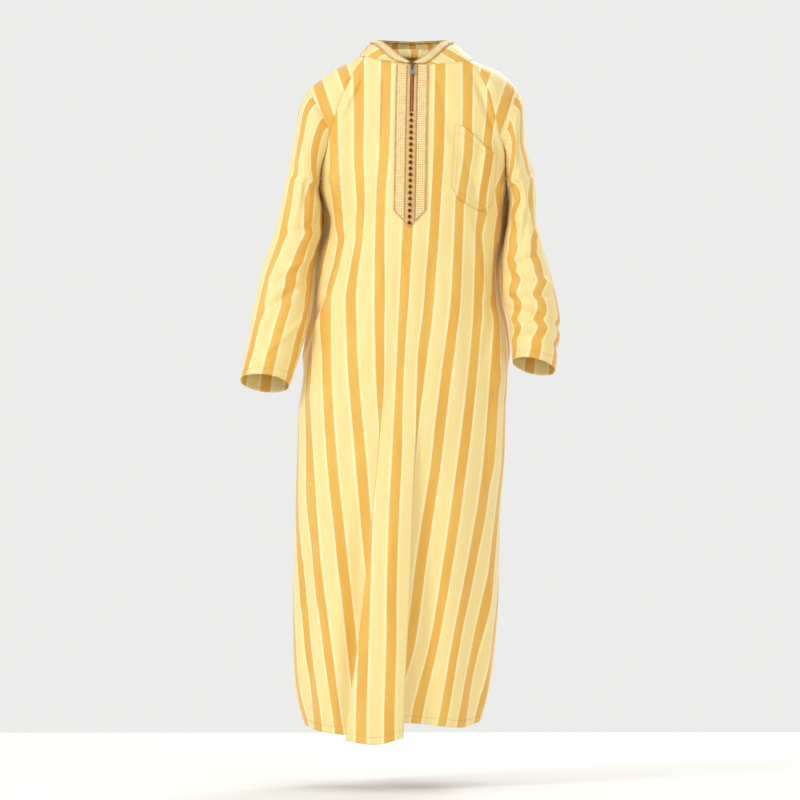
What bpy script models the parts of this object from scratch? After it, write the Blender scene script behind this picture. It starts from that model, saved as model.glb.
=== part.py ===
"""Long hooded striped robe in its worn form. Metres, +Z up, the front faces -Y.

The origin is the middle of the neck opening at shoulder height. Left and right
are the viewer's, so left is -X.
"""
import math

import bmesh
import bpy
from mathutils import Matrix, Vector
from mathutils.bvhtree import BVHTree

for old in list(bpy.data.objects):
    bpy.data.objects.remove(old, do_unlink=True)

clothWall = 0.0018
trimWall = 0.0012
halfSeam = 0.00018
layerGap = 0.0006
handSlit = 0.003

# height, left edge, right edge, front depth, back depth
trunkRows = (
    (-1.420, -0.2060, 0.1240, 0.148, 0.135),
    (-1.374, -0.2220, 0.1390, 0.146, 0.134),
    (-1.335, -0.2340, 0.1500, 0.144, 0.132),
    (-1.298, -0.2410, 0.1590, 0.142, 0.131),
    (-1.257, -0.2440, 0.1670, 0.140, 0.130),
    (-1.201, -0.2450, 0.1730, 0.139, 0.129),
    (-1.119, -0.2450, 0.1780, 0.138, 0.129),
    (-1.036, -0.2430, 0.1800, 0.138, 0.130),
    (-0.927, -0.2410, 0.1830, 0.139, 0.133),
    (-0.807, -0.2360, 0.1920, 0.140, 0.136),
    (-0.729, -0.2340, 0.1930, 0.140, 0.135),
    (-0.672, -0.2256, 0.1960, 0.140, 0.133),
    (-0.624, -0.2190, 0.1950, 0.140, 0.130),
    (-0.593, -0.2090, 0.1935, 0.139, 0.127),
    (-0.569, -0.2025, 0.1910, 0.138, 0.124),
    (-0.501, -0.2000, 0.1785, 0.136, 0.118),
    (-0.439, -0.1945, 0.1735, 0.135, 0.118),
    (-0.402, -0.1870, 0.1770, 0.135, 0.119),
    (-0.367, -0.1740, 0.1840, 0.134, 0.120),
    (-0.336, -0.1690, 0.1860, 0.134, 0.121),
    (-0.311, -0.1770, 0.1875, 0.133, 0.123),
    (-0.268, -0.1905, 0.1950, 0.132, 0.126),
    (-0.229, -0.1930, 0.2030, 0.129, 0.128),
    (-0.192, -0.1970, 0.2130, 0.124, 0.128),
    (-0.157, -0.2030, 0.2220, 0.118, 0.126),
    (-0.115, -0.2070, 0.2260, 0.112, 0.121),
    (-0.076, -0.2030, 0.2220, 0.103, 0.114),
    (-0.039, -0.1860, 0.2050, 0.090, 0.101),
    (-0.018, -0.1650, 0.1850, 0.080, 0.092),
    (0.000, -0.1420, 0.1600, 0.074, 0.084),
    (0.020, -0.1300, 0.1460, 0.070, 0.078),
)

# row from the neck down to the armpit, x, height
raglanRows = {
    "left": (
        (0, -0.0948, 0.0000), (1, -0.1215, -0.0391), (2, -0.1401, -0.0762), (3, -0.1545, -0.1154),
        (4, -0.1689, -0.1566), (5, -0.1751, -0.1916), (6, -0.1854, -0.2287), (7, -0.1905, -0.2680),
    ),
    "right": (
        (0, 0.1133, -0.0103), (1, 0.1380, -0.0350), (2, 0.1545, -0.0700), (3, 0.1669, -0.1174),
        (4, 0.1854, -0.1833), (5, 0.1895, -0.2122), (6, 0.1926, -0.2390), (7, 0.1950, -0.2680),
    ),
}

# row from the neck to the cuff, outer x, outer height, inner x, inner height,
# half depth, forward reach, front lift of the cuff
sleeveRows = {
    "left": (
        (0, -0.1071, 0.0010, 0, 0, 0.020, 0, 0),
        (1, -0.1380, -0.0155, 0, 0, 0.030, 0, 0),
        (2, -0.1648, -0.0299, 0, 0, 0.045, 0, 0),
        (3, -0.1895, -0.0484, 0, 0, 0.058, 0, 0),
        (4, -0.2122, -0.0680, 0, 0, 0.068, 0, 0),
        (5, -0.2297, -0.1051, 0, 0, 0.073, 0, 0),
        (6, -0.2390, -0.1669, 0, 0, 0.074, 0, 0),
        (7, -0.2554, -0.2472, -0.1905, -0.2680, 0.073, 0.000, 0),
        (8, -0.2688, -0.2966, -0.1848, -0.3111, 0.071, 0.003, 0),
        (9, -0.2781, -0.3420, -0.1848, -0.3584, 0.069, 0.008, 0),
        (10, -0.2925, -0.3914, -0.1945, -0.4017, 0.067, 0.014, 0),
        (11, -0.3080, -0.4388, -0.2032, -0.4450, 0.065, 0.020, 0),
        (12, -0.3193, -0.4862, -0.2075, -0.4923, 0.063, 0.027, 0),
        (13, -0.3296, -0.5377, -0.2115, -0.5356, 0.061, 0.034, 0.002),
        (14, -0.3378, -0.5850, -0.2190, -0.5727, 0.058, 0.042, 0.006),
        (15, -0.3451, -0.6262, -0.2320, -0.6201, 0.055, 0.050, 0.012),
        (16, -0.3523, -0.6664, -0.2524, -0.6780, 0.052, 0.058, 0.018),
    ),
    "right": (
        (0, 0.1240, -0.0085, 0, 0, 0.020, 0, 0),
        (1, 0.1490, -0.0175, 0, 0, 0.030, 0, 0),
        (2, 0.1720, -0.0270, 0, 0, 0.045, 0, 0),
        (3, 0.1930, -0.0412, 0, 0, 0.058, 0, 0),
        (4, 0.2153, -0.0659, 0, 0, 0.070, 0, 0),
        (5, 0.2287, -0.0968, 0, 0, 0.075, 0, 0),
        (6, 0.2328, -0.1710, 0, 0, 0.077, 0, 0),
        (7, 0.2524, -0.2472, 0.1950, -0.2680, 0.077, 0.000, 0),
        (8, 0.2554, -0.2884, 0.1990, -0.3008, 0.076, 0.004, 0),
        (9, 0.2561, -0.3337, 0.1960, -0.3399, 0.075, 0.010, 0),
        (10, 0.2657, -0.3790, 0.1890, -0.3811, 0.073, 0.018, 0),
        (11, 0.2781, -0.4223, 0.1840, -0.4223, 0.070, 0.026, 0),
        (12, 0.2894, -0.4656, 0.1840, -0.4656, 0.067, 0.034, 0),
        (13, 0.2987, -0.5088, 0.1885, -0.5068, 0.064, 0.042, 0.002),
        (14, 0.3049, -0.5521, 0.1970, -0.5459, 0.061, 0.050, 0.006),
        (15, 0.3018, -0.5933, 0.2020, -0.5871, 0.058, 0.057, 0.010),
        (16, 0.2936, -0.6468, 0.2065, -0.6283, 0.054, 0.062, 0.016),
    ),
}

# place across the panel from side seam to side seam, height of the hem
frontHemRows = (
    (0, -1.372), (0.5, -1.381), (1, -1.389), (1.5, -1.396), (2, -1.399), (2.5, -1.406),
    (3, -1.392), (3.5, -1.368), (4, -1.364), (4.5, -1.375), (5, -1.360),
)

# height, left edge, right edge, rise of the flute in front of the legs
fluteRows = (
    (-1.420, -0.138, -0.016, 0.034),
    (-1.285, -0.124, -0.011, 0.030),
    (-1.098, -0.101, -0.002, 0.024),
    (-0.921, -0.081, 0.003, 0.016),
    (-0.756, -0.064, 0.010, 0.005),
    (-0.680, -0.057, 0.015, 0.000),
    (-0.300, -0.047, 0.034, 0.000),
    (0.020, -0.036, 0.040, 0.000),
)

# top x, top height, bottom x, bottom height, rise, width to the left, width to the right
frontFolds = (
    (-0.110, -0.330, -0.216, -0.630, 0.010, 0.009, 0.060),
    (-0.132, -0.120, -0.122, -0.370, -0.006, 0.014, 0.018),
    (-0.158, -0.200, -0.150, -0.380, 0.006, 0.012, 0.014),
    (0.034, -0.360, 0.048, -0.720, -0.006, 0.026, 0.026),
    (0.140, -0.150, 0.134, -0.420, -0.005, 0.019, 0.019),
    (0.168, -0.210, 0.150, -0.480, 0.004, 0.018, 0.018),
    (0.150, -0.500, 0.178, -0.700, 0.007, 0.016, 0.020),
    (-0.175, -0.760, -0.165, -1.500, 0.013, 0.045, 0.045),
    (0.090, -0.780, 0.070, -1.500, 0.015, 0.045, 0.050),
    (-0.120, -0.700, -0.145, -1.050, -0.006, 0.020, 0.020),
)
backFolds = (
    (-0.110, -0.360, -0.130, -1.500, 0.014, 0.034, 0.034),
    (-0.055, -0.500, -0.062, -1.500, -0.010, 0.024, 0.024),
    (-0.008, -0.420, -0.012, -1.500, 0.012, 0.026, 0.026),
    (0.040, -0.560, 0.036, -1.500, -0.010, 0.022, 0.022),
    (0.090, -0.380, 0.084, -1.500, 0.014, 0.032, 0.032),
)

# first row, first turn, last row, last turn, rise, width in rows, width in turns
sleeveFolds = {
    "left": (
        (11.0, 0.20, 15.4, 0.36, -0.005, 9.0, 0.035),
        (7.6, 0.10, 12.5, 0.10, -0.006, 9.0, 0.040),
        (8.0, 0.62, 15.0, 0.66, 0.005, 9.0, 0.060),
        (11.2, 0.70, 12.4, 0.95, -0.004, 0.50, 0.90),
    ),
    "right": (
        (13.4, 0.02, 13.9, 0.34, -0.007, 0.36, 0.90),
        (14.1, 0.04, 14.5, 0.40, 0.006, 0.34, 0.90),
        (14.8, 0.04, 15.0, 0.30, -0.004, 0.30, 0.90),
        (8.0, 0.14, 13.0, 0.26, -0.006, 9.0, 0.050),
        (12.2, 0.08, 13.4, 0.36, 0.005, 0.40, 0.90),
        (8.0, 0.64, 14.0, 0.70, 0.005, 9.0, 0.060),
    ),
}

# place about the neck from front to back, free edge x, y and height, fall behind, bulge
hoodRows = (
    (0.00, 0.0020, -0.0805, -0.0158, 0.000, 0.000),
    (0.12, 0.0230, -0.0720, -0.0030, 0.000, 0.002),
    (0.24, 0.0440, -0.0500, 0.0150, 0.000, 0.004),
    (0.36, 0.0600, -0.0160, 0.0290, 0.000, 0.008),
    (0.48, 0.0680, 0.0250, 0.0350, 0.000, 0.011),
    (0.60, 0.0680, 0.0660, 0.0370, 0.016, 0.014),
    (0.66, 0.0630, 0.0840, 0.0375, 0.090, 0.016),
    (0.72, 0.0560, 0.0980, 0.0380, 0.165, 0.018),
    (0.86, 0.0320, 0.1180, 0.0380, 0.270, 0.022),
    (1.00, 0.0000, 0.1260, 0.0370, 0.340, 0.026),
)

# place along the cloth of the hood, share of the fall, bulge, clear of the back, widening, rise
hoodLayers = (
    (0.00, 0.00, 0.00, 0.002, 0.00, 0.000),
    (0.12, 0.03, 0.60, 0.008, 0.05, 0.010),
    (0.30, 0.52, 0.75, 0.009, 0.16, 0.000),
    (0.48, 0.98, 0.90, 0.009, 0.06, 0.000),
    (0.56, 0.98, 1.10, 0.020, 0.08, 0.000),
    (0.72, 0.48, 1.25, 0.036, 0.22, 0.000),
    (0.90, 0.05, 0.70, 0.014, 0.06, 0.000),
    (1.00, 0.00, 0.00, 0.002, 0.00, 0.000),
)

# place across, top x, top height, bottom x, bottom height
pocketRows = (
    (0.00, 0.0870, -0.1442, 0.0800, -0.2699),
    (0.20, 0.1030, -0.1483, 0.0950, -0.2950),
    (0.45, 0.1250, -0.1648, 0.1190, -0.3110),
    (0.70, 0.1500, -0.1895, 0.1420, -0.3200),
    (1.00, 0.1730, -0.2050, 0.1650, -0.3040),
)

# height, middle of the placket
placketMiddle = ((-0.3600, -0.0058), (-0.3230, -0.0048), (-0.0890, -0.0008), (-0.0180, 0.0010))

placketTop = -0.0200
placketShoulder = -0.3200
placketEnd = -0.3550
placketHalf = 0.0336
bandHalf = 0.0104
trimWidth = 0.016
knotCount = 19
knotFirst = -0.1245
knotLast = -0.3455
knotWidth = 0.0072
knotRise = 0.0042
zipTop = -0.0206
zipEnd = -0.1180
zipHalf = 0.0040
zipRise = 0.0010
pullHeight = -0.0250
sliderDeep = 0.0026


def readRow(rows, key):
    """All columns of a table at a key, on a smooth curve through its rows."""
    last = len(rows) - 1
    if key <= rows[0][0]:
        return rows[0][1:]
    if key >= rows[last][0]:
        return rows[last][1:]
    at = 0
    while rows[at + 1][0] < key:
        at += 1
    before = rows[max(at - 1, 0)]
    low = rows[at]
    high = rows[at + 1]
    after = rows[min(at + 2, last)]
    span = high[0] - low[0]
    t = (key - low[0]) / span
    values = []
    for column in range(1, len(low)):
        step = (high[column] - low[column]) / span
        slopeIn = step
        slopeOut = step
        if before is not low:
            left = (low[column] - before[column]) / (low[0] - before[0])
            slopeIn = 0.0 if left * step <= 0 else 2 * left * step / (left + step)
        if after is not high:
            right = (after[column] - high[column]) / (after[0] - high[0])
            slopeOut = 0.0 if right * step <= 0 else 2 * right * step / (right + step)
        values.append(
            low[column] * (2 * t ** 3 - 3 * t ** 2 + 1)
            + high[column] * (3 * t ** 2 - 2 * t ** 3)
            + slopeIn * span * (t ** 3 - 2 * t ** 2 + t)
            + slopeOut * span * (t ** 3 - t ** 2)
        )
    return tuple(values)


def ease(value):
    value = min(1.0, max(0.0, value))
    return value * value * (3 - 2 * value)


def mix(low, high, share):
    return low + (high - low) * share


def foldRise(folds, x, z):
    """Sum of the folds of a table at a place of a panel."""
    total = 0.0
    for topX, topZ, endX, endZ, rise, leftWidth, rightWidth in folds:
        along = (topZ - z) / (topZ - endZ)
        if along <= 0 or along >= 1:
            continue
        off = x - mix(topX, endX, along)
        width = leftWidth if off < 0 else rightWidth
        fade = ease(along / 0.25) * ease((1 - along) / 0.25)
        total += rise * fade * math.exp(-(off / width) ** 2)
    return total


def fluteAt(z):
    """Left wall, left edge, right edge, right wall and rise of the middle flute."""
    left, right, rise = readRow(fluteRows, z)
    tuck = 0.22 * rise
    return (left - 0.005 + tuck * 1.4, left + 0.003, right - 0.003, right + 0.005 - tuck * 1.4, rise)


def fluteShare(across):
    """How far a place across the front panel stands on the flute."""
    if across <= 1 or across >= 4:
        return 0.0
    if across < 2:
        return ease(across - 1)
    if across > 3:
        return ease(4 - across)
    return 1.0 + 0.30 * math.sin(math.pi * (across - 2))


def turnOf(x, z):
    """Turn around the trunk, 0 at the left side seam, for a place x."""
    left, right, front, back = readRow(trunkRows, z)
    share = ((left + right) / 2 - x) / ((right - left) / 2)
    return math.acos(min(1.0, max(-1.0, share)))


def trunkPoint(turn, z, side, lift=0.0, flute=0.0):
    """A place on the cloth of the trunk, side -1 for the front and 1 for the back."""
    left, right, front, back = readRow(trunkRows, z)
    half = (right - left) / 2
    depth = front if side < 0 else back
    square = mix(1.0, 0.86, ease((-0.45 - z) / 0.5))
    sine = math.sin(turn)
    x = (left + right) / 2 - half * math.cos(turn)
    y = side * depth * sine ** square
    outward = Vector((-math.cos(turn) / half, side * sine / depth, 0)).normalized()
    folds = frontFolds if side < 0 else backFolds
    rise = foldRise(folds, x, z) * ease(sine / 0.35) + lift
    point = Vector((x, y, z)) + outward * rise
    point.y += side * flute
    return point


def trunkNormal(turn, z, side):
    step = 0.004
    across = trunkPoint(turn + step, z, side) - trunkPoint(turn - step, z, side)
    down = trunkPoint(turn, z - step, side) - trunkPoint(turn, z + step, side)
    normal = across.cross(down).normalized()
    return normal if normal.y * side > 0 else -normal


def raglanPoint(name, row, side):
    """A place on the slanted shoulder seam."""
    x, z = readRow(raglanRows[name], row)
    if side > 0:
        z += 0.008 * (1 - row / 7)
    turn = turnOf(x, z)
    if row >= 6.999:
        turn = 0.0 if name == "left" else math.pi
    return trunkPoint(turn, z, side), turn, z


def sleeveFoldRise(name, row, turn):
    total = 0.0
    for firstRow, firstTurn, lastRow, lastTurn, rise, rowWidth, turnWidth in sleeveFolds[name]:
        spanRow = lastRow - firstRow
        spanTurn = lastTurn - firstTurn
        if rowWidth > 2:
            along = (row - firstRow) / spanRow
            off = (turn - mix(firstTurn, lastTurn, along)) / turnWidth
        else:
            along = (turn - firstTurn) / spanTurn
            off = (row - mix(firstRow, lastRow, along)) / rowWidth
        if along <= 0 or along >= 1:
            continue
        total += rise * ease(along / 0.25) * ease((1 - along) / 0.25) * math.exp(-off ** 2)
    return total


def sleevePoint(name, row, turn):
    """A place on the sleeve, turn 0 to 1 from its front edge over the top to its back edge."""
    outX, outZ, inX, inZ, half, reach, lift = readRow(sleeveRows[name], row)
    if row < 7:
        front = raglanPoint(name, row, -1)[0]
        back = raglanPoint(name, row, 1)[0]
        middle = (front + back) / 2
        reachOut = (back - front) / 2
        half = max(half, reachOut.y * 1.0005)
        start = math.asin(min(1.0, reachOut.y / half))
        tilt = reachOut / max(reachOut.y, 1e-6)
    else:
        middle = Vector((inX, -reach, inZ))
        start = 0.0
        tilt = Vector((0, 1, 0))
    top = Vector((outX, middle.y, outZ))
    arm = (top - middle) / (1 + math.cos(start))
    centre = top - arm
    angle = mix(start, 2 * math.pi - start, turn)
    ring = tilt * half * math.sin(angle)
    point = centre - arm * math.cos(angle) - ring
    point.z += lift * math.sin(angle)
    fold = sleeveFoldRise(name, row, turn)
    if fold:
        outward = (point - centre).normalized()
        point += outward * fold
    return point


def sleeveNormal(name, row, turn):
    """Outward direction square to the sleeve."""
    across = sleevePoint(name, row, min(1, turn + 0.01)) - sleevePoint(name, row, max(0, turn - 0.01))
    down = sleevePoint(name, row + 0.05, turn) - sleevePoint(name, max(0, row - 0.05), turn)
    normal = across.cross(down).normalized()
    return normal if name == "left" else -normal


def seamNormal(name, row, side):
    """Shared direction through the wall at the slanted seam, so both walls end on one plane."""
    point, turn, z = raglanPoint(name, row, side)
    if row > 6.6:
        sign = -1 if name == "left" else 1
        return Vector((sign, 0.0, 0.0))
    first = trunkNormal(turn, z, side)
    second = sleeveNormal(name, row, 0.0 if side < 0 else 1.0)
    both = (first + second).normalized()
    return both / max(0.72, both.dot(first))


def makeMaterial(name, colour, rough, metal=0.0):
    material = bpy.data.materials.new(name)
    material.use_nodes = True
    shader = material.node_tree.nodes["Principled BSDF"]
    shader.inputs["Base Color"].default_value = (*colour, 1)
    shader.inputs["Roughness"].default_value = rough
    shader.inputs["Metallic"].default_value = metal
    material.diffuse_color = (*colour, 1)
    return material


def finishMesh(mesh, name, material, origin=None):
    data = bpy.data.meshes.new(name)
    mesh.normal_update()
    mesh.to_mesh(data)
    mesh.free()
    data.materials.append(material)
    piece = bpy.data.objects.new(name, data)
    if origin is not None:
        piece.location = origin
    bpy.context.scene.collection.objects.link(piece)
    return piece


def makeWall(name, grid, wall, material, outside, closedFrom=None, normals=None, probeAt=None):
    """A cloth wall from a grid of points on its outer side. From row closedFrom on, the
    last column is the first. outside is a direction on the outer side at probeAt."""
    mesh = bmesh.new()
    rows = len(grid)
    columns = len(grid[0])
    outer = {}
    for r in range(rows):
        for c in range(columns):
            if closedFrom is not None and r >= closedFrom and c == columns - 1:
                outer[r, c] = outer[r, 0]
            else:
                outer[r, c] = mesh.verts.new(grid[r][c])
    cells = []
    for r in range(rows - 1):
        for c in range(columns - 1):
            corners = []
            for key in ((r, c), (r, c + 1), (r + 1, c + 1), (r + 1, c)):
                if outer[key] not in corners:
                    corners.append(outer[key])
            cells.append(corners)
    total = {}
    for corners in cells:
        normal = (corners[2].co - corners[0].co).cross(corners[-1].co - corners[1].co)
        for corner in corners:
            total[corner] = total.get(corner, Vector()) + normal
    probe = outer[probeAt or (rows // 2, columns // 2)]
    flip = total[probe].dot(outside) < 0
    inner = {}
    for corner, normal in total.items():
        normal = normal.normalized() * (-1 if flip else 1)
        inner[corner] = mesh.verts.new(corner.co - normal * wall)
    if normals:
        for (r, c), normal in normals.items():
            corner = outer[r, c]
            inner[corner].co = corner.co - normal * wall
    edgeUse = {}
    for corners in cells:
        order = list(reversed(corners)) if flip else corners
        mesh.faces.new(order)
        mesh.faces.new([inner[corner] for corner in reversed(order)])
        for at, corner in enumerate(order):
            edgeUse[corner, order[(at + 1) % len(order)]] = True
    for first, second in edgeUse:
        if (second, first) not in edgeUse:
            mesh.faces.new((second, first, inner[first], inner[second]))
    return finishMesh(mesh, name, material)


def drawBack(edge, inside, distance):
    """Draw the points of an edge back towards the next line of points, so that the edge
    moves by the distance square to itself."""
    fresh = []
    last = len(edge) - 1
    for at, point in enumerate(edge):
        step = inside[at] - point
        along = (edge[min(at + 1, last)] - edge[max(at - 1, 0)]).normalized()
        square = step - along * step.dot(along)
        sine = max(0.3, square.length / step.length)
        size = distance(at) if callable(distance) else distance
        fresh.append(point + step.normalized() * size / sine)
    return fresh


def trimGrid(grid, top=None, end=None, first=None, last=None, sideRows=None):
    """Draw the named edges of a grid back along its own surface."""
    rows = len(grid) if sideRows is None else sideRows
    fresh = [list(row) for row in grid]
    if first:
        line = drawBack([grid[r][0] for r in range(rows)], [grid[r][1] for r in range(rows)], first)
        for r in range(rows):
            fresh[r][0] = line[r]
    if last:
        line = drawBack([grid[r][-1] for r in range(rows)], [grid[r][-2] for r in range(rows)], last)
        for r in range(rows):
            fresh[r][-1] = line[r]
    if top:
        fresh[0] = drawBack(fresh[0], fresh[1], top)
    if end:
        fresh[-1] = drawBack(fresh[-1], fresh[-2], end)
    return fresh


clothPale = makeMaterial("Striped cloth front", (0.95, 0.82, 0.40), 0.55)
clothBack = makeMaterial("Striped cloth back", (0.94, 0.80, 0.38), 0.55)
clothShoulderL = makeMaterial("Striped cloth left shoulder", (0.95, 0.79, 0.36), 0.55)
clothShoulderR = makeMaterial("Striped cloth right shoulder", (0.95, 0.79, 0.36), 0.55)
clothSleeveL = makeMaterial("Striped cloth left sleeve", (0.93, 0.76, 0.33), 0.55)
clothSleeveR = makeMaterial("Striped cloth right sleeve", (0.93, 0.76, 0.33), 0.55)
clothHood = makeMaterial("Striped cloth hood", (0.94, 0.80, 0.38), 0.55)
clothPocket = makeMaterial("Striped cloth pocket", (0.95, 0.80, 0.38), 0.55)
trimCream = makeMaterial("Embroidered cream hood trim", (0.93, 0.84, 0.62), 0.7)
placketCreamL = makeMaterial("Embroidered cream left placket", (0.93, 0.84, 0.60), 0.7)
placketCreamR = makeMaterial("Embroidered cream right placket", (0.93, 0.84, 0.60), 0.7)
placketTan = makeMaterial("Tan placket band", (0.86, 0.58, 0.28), 0.6)
zipBrown = makeMaterial("Brown zip tape", (0.34, 0.16, 0.07), 0.7)
sliderGrey = makeMaterial("Gunmetal zip slider", (0.10, 0.11, 0.11), 0.35, 0.9)
pullGrey = makeMaterial("Grey zip pull tab", (0.30, 0.34, 0.32), 0.35, 0.9)
knotBrown = makeMaterial("Dark brown knot cord", (0.16, 0.06, 0.02), 0.6)

raglanSteps = [7, 6.5, 6, 5.5, 5, 4.5, 4, 3, 2, 1, 0]
acrossSteps = (
    [at / 9 for at in range(9)]
    + [1.0, 1.5]
    + [2 + at / 7 for at in range(7)]
    + [3.0, 3.5]
    + [4 + at / 8 for at in range(9)]
)
lowerSteps = 17


def frontPlace(across, row, lower):
    """Turn, height and flute rise of a place on the front panel."""
    seamRow = row if lower is None else 7
    leftX, leftZ = readRow(raglanRows["left"], seamRow)
    rightX, rightZ = readRow(raglanRows["right"], seamRow)
    leftTurn = 0.0 if seamRow >= 6.999 else turnOf(leftX, leftZ)
    rightTurn = math.pi if seamRow >= 6.999 else turnOf(rightX, rightZ)
    bulge = mix(-0.0185, -0.268, seamRow / 7) - (leftZ + rightZ) / 2
    level = mix(leftZ, rightZ, across / 5)
    if lower is not None:
        level = mix(level, readRow(frontHemRows, across)[0], lower)
    wallLeft, edgeLeft, edgeRight, wallRight, rise = fluteAt(level)
    marks = [
        leftTurn, turnOf(wallLeft, level), turnOf(edgeLeft, level),
        turnOf(edgeRight, level), turnOf(wallRight, level), rightTurn,
    ]
    at = min(4, int(across))
    turn = mix(marks[at], marks[at + 1], across - at)
    if lower is None:
        share = (math.cos(leftTurn) - math.cos(turn)) / (math.cos(leftTurn) - math.cos(rightTurn))
        level = mix(leftZ, rightZ, share) + bulge * 4 * share * (1 - share)
    return turn, level, rise * fluteShare(across)


def frontGrid(acrossList, rowList, lowerList):
    grid = []
    for row in rowList:
        grid.append([frontPoint(across, row, None) for across in acrossList])
    for lower in lowerList:
        grid.append([frontPoint(across, 7, lower) for across in acrossList])
    return grid


def frontPoint(across, row, lower):
    turn, z, flute = frontPlace(across, row, lower)
    return trunkPoint(turn, z, -1, 0.0, flute)


neckDown = list(reversed(raglanSteps))
lowerList = [(at + 1) / lowerSteps for at in range(lowerSteps)]
front = frontGrid(acrossSteps, neckDown, lowerList)
frontNormals = {}
for r, row in enumerate(neckDown):
    frontNormals[r, 0] = seamNormal("left", row, -1)
    frontNormals[r, len(acrossSteps) - 1] = seamNormal("right", row, -1)
for r in range(len(neckDown), len(front)):
    frontNormals[r, 0] = Vector((-1, 0, 0))
    frontNormals[r, len(acrossSteps) - 1] = Vector((1, 0, 0))
frontEdge = trimGrid(front, first=halfSeam, last=halfSeam)
makeWall("front", frontEdge, clothWall, clothPale, Vector((0, -1, 0)), None, frontNormals)

backSteps = [at / 18 for at in range(19)]


def backPlace(across, row, lower):
    seamRow = row if lower is None else 7
    leftX, leftZ = readRow(raglanRows["left"], seamRow)
    rightX, rightZ = readRow(raglanRows["right"], seamRow)
    leftZ += 0.008 * (1 - seamRow / 7)
    rightZ += 0.008 * (1 - seamRow / 7)
    middleZ = mix(0.006, -0.268, seamRow / 7)
    bulge = middleZ - (leftZ + rightZ) / 2
    z = mix(leftZ, rightZ, across) + bulge * 4 * across * (1 - across)
    if lower is not None:
        hem = mix(-1.372, -1.360, across) - 0.006 * math.sin(math.pi * across)
        z = mix(z, hem, lower)
    if row >= 6.999:
        return mix(0.0, math.pi, across), z
    return mix(turnOf(leftX, leftZ), turnOf(rightX, rightZ), across), z


def backPoint(across, row, lower):
    turn, z = backPlace(across, row, lower)
    return trunkPoint(turn, z, 1)


def frontSideHeight(name, lower):
    across = 0 if name == "left" else 5
    return frontPlace(across, 7, lower)[1]


back = [[backPoint(across, row, None) for across in backSteps] for row in neckDown]
for lower in lowerList:
    back.append([backPoint(across, 7, lower) for across in backSteps])
backNormals = {}
for r, row in enumerate(neckDown):
    backNormals[r, 0] = seamNormal("left", row, 1)
    backNormals[r, len(backSteps) - 1] = seamNormal("right", row, 1)
for r in range(len(neckDown), len(back)):
    backNormals[r, 0] = Vector((-1, 0, 0))
    backNormals[r, len(backSteps) - 1] = Vector((1, 0, 0))


def slitGap(r):
    """Half seam gap, opening to the hand slit at hip height."""
    z = back[r][0].z
    return halfSeam + handSlit * math.exp(-((z + 0.683) / 0.045) ** 4)


backEdge = trimGrid(back, first=slitGap, last=slitGap)
makeWall("back", backEdge, clothWall, clothBack, Vector((0, 1, 0)), None, backNormals)

shoulderSteps = [0, 0.8, 1.6, 2.4, 3.2, 4]
sleeveSteps = [4, 4.5, 5, 5.5, 6, 6.5, 7, 7.7, 8.6, 9.6, 10.6, 11.6, 12.5, 13.3, 14, 14.7, 15.3, 16]
turnSteps = [at / 16 for at in range(17)]
raglanShoulder = [0, 1, 2, 3, 4]


def capGap(at):
    """Half gap of the dropped seam, a little wider where three pieces meet."""
    return halfSeam * (3.0 if at in (0, len(turnSteps) - 1) else 1.0)


for name, shoulderMaterial, sleeveMaterial in (
    ("left", clothShoulderL, clothSleeveL),
    ("right", clothShoulderR, clothSleeveR),
):
    sign = -1 if name == "left" else 1
    grid = [[sleevePoint(name, row, turn) for turn in turnSteps] for row in raglanShoulder]
    wallNormals = {}
    for r, row in enumerate(raglanShoulder):
        wallNormals[r, 0] = seamNormal(name, row, -1)
        wallNormals[r, len(turnSteps) - 1] = seamNormal(name, row, 1)
    capNormals = {c: sleeveNormal(name, 4, turnSteps[c]) for c in range(1, len(turnSteps) - 1)}
    for c, normal in capNormals.items():
        wallNormals[len(raglanShoulder) - 1, c] = normal
    edge = trimGrid(grid, end=capGap, first=halfSeam, last=halfSeam)
    away = Vector((sign * 0.3, 0, 1))
    makeWall("shoulder_" + name, edge, clothWall, shoulderMaterial, away, None, wallNormals)

    grid = [[sleevePoint(name, row, turn) for turn in turnSteps] for row in sleeveSteps]
    wallNormals = {}
    closed = sleeveSteps.index(7)
    for r, row in enumerate(sleeveSteps[:closed]):
        wallNormals[r, 0] = seamNormal(name, row, -1)
        wallNormals[r, len(turnSteps) - 1] = seamNormal(name, row, 1)
    for c, normal in capNormals.items():
        wallNormals[0, c] = normal
    away = Vector((sign, 0, 0))
    edge = trimGrid(grid, top=capGap, first=halfSeam, last=halfSeam, sideRows=closed)
    edge[closed][0] = grid[closed][0] + away * 0.0012 + Vector((0, 0, -0.001))
    makeWall("sleeve_" + name, edge, clothWall, sleeveMaterial, away, closed, wallNormals)


def neckPoint(name, place):
    """A place on the neck seam, 0.3 mm clear of the panels, from the front to the back."""
    sign = -1 if name == "left" else 1
    leftX, leftZ = readRow(raglanRows["left"], 0)
    rightX, rightZ = readRow(raglanRows["right"], 0)
    if place < 0.3:
        x = mix(sign * 0.0165, leftX if sign < 0 else rightX, place / 0.3)
        share = (x - leftX) / (rightX - leftX)
        z = mix(leftZ, rightZ, share)
        z += (-0.0185 - (leftZ + rightZ) / 2) * 4 * share * (1 - share)
        point = trunkPoint(turnOf(x, z), z, -1)
    elif place <= 0.62:
        point = sleevePoint(name, 0, (place - 0.3) / 0.32)
    else:
        across = 0.5 * (place - 0.62) / 0.38
        point = backPoint(across if sign < 0 else 1 - across, 0, None)
    inward = Vector((-point.x, -point.y, 0)).normalized()
    return point + inward * 0.0005 + Vector((0, 0, 0.0008))


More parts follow.
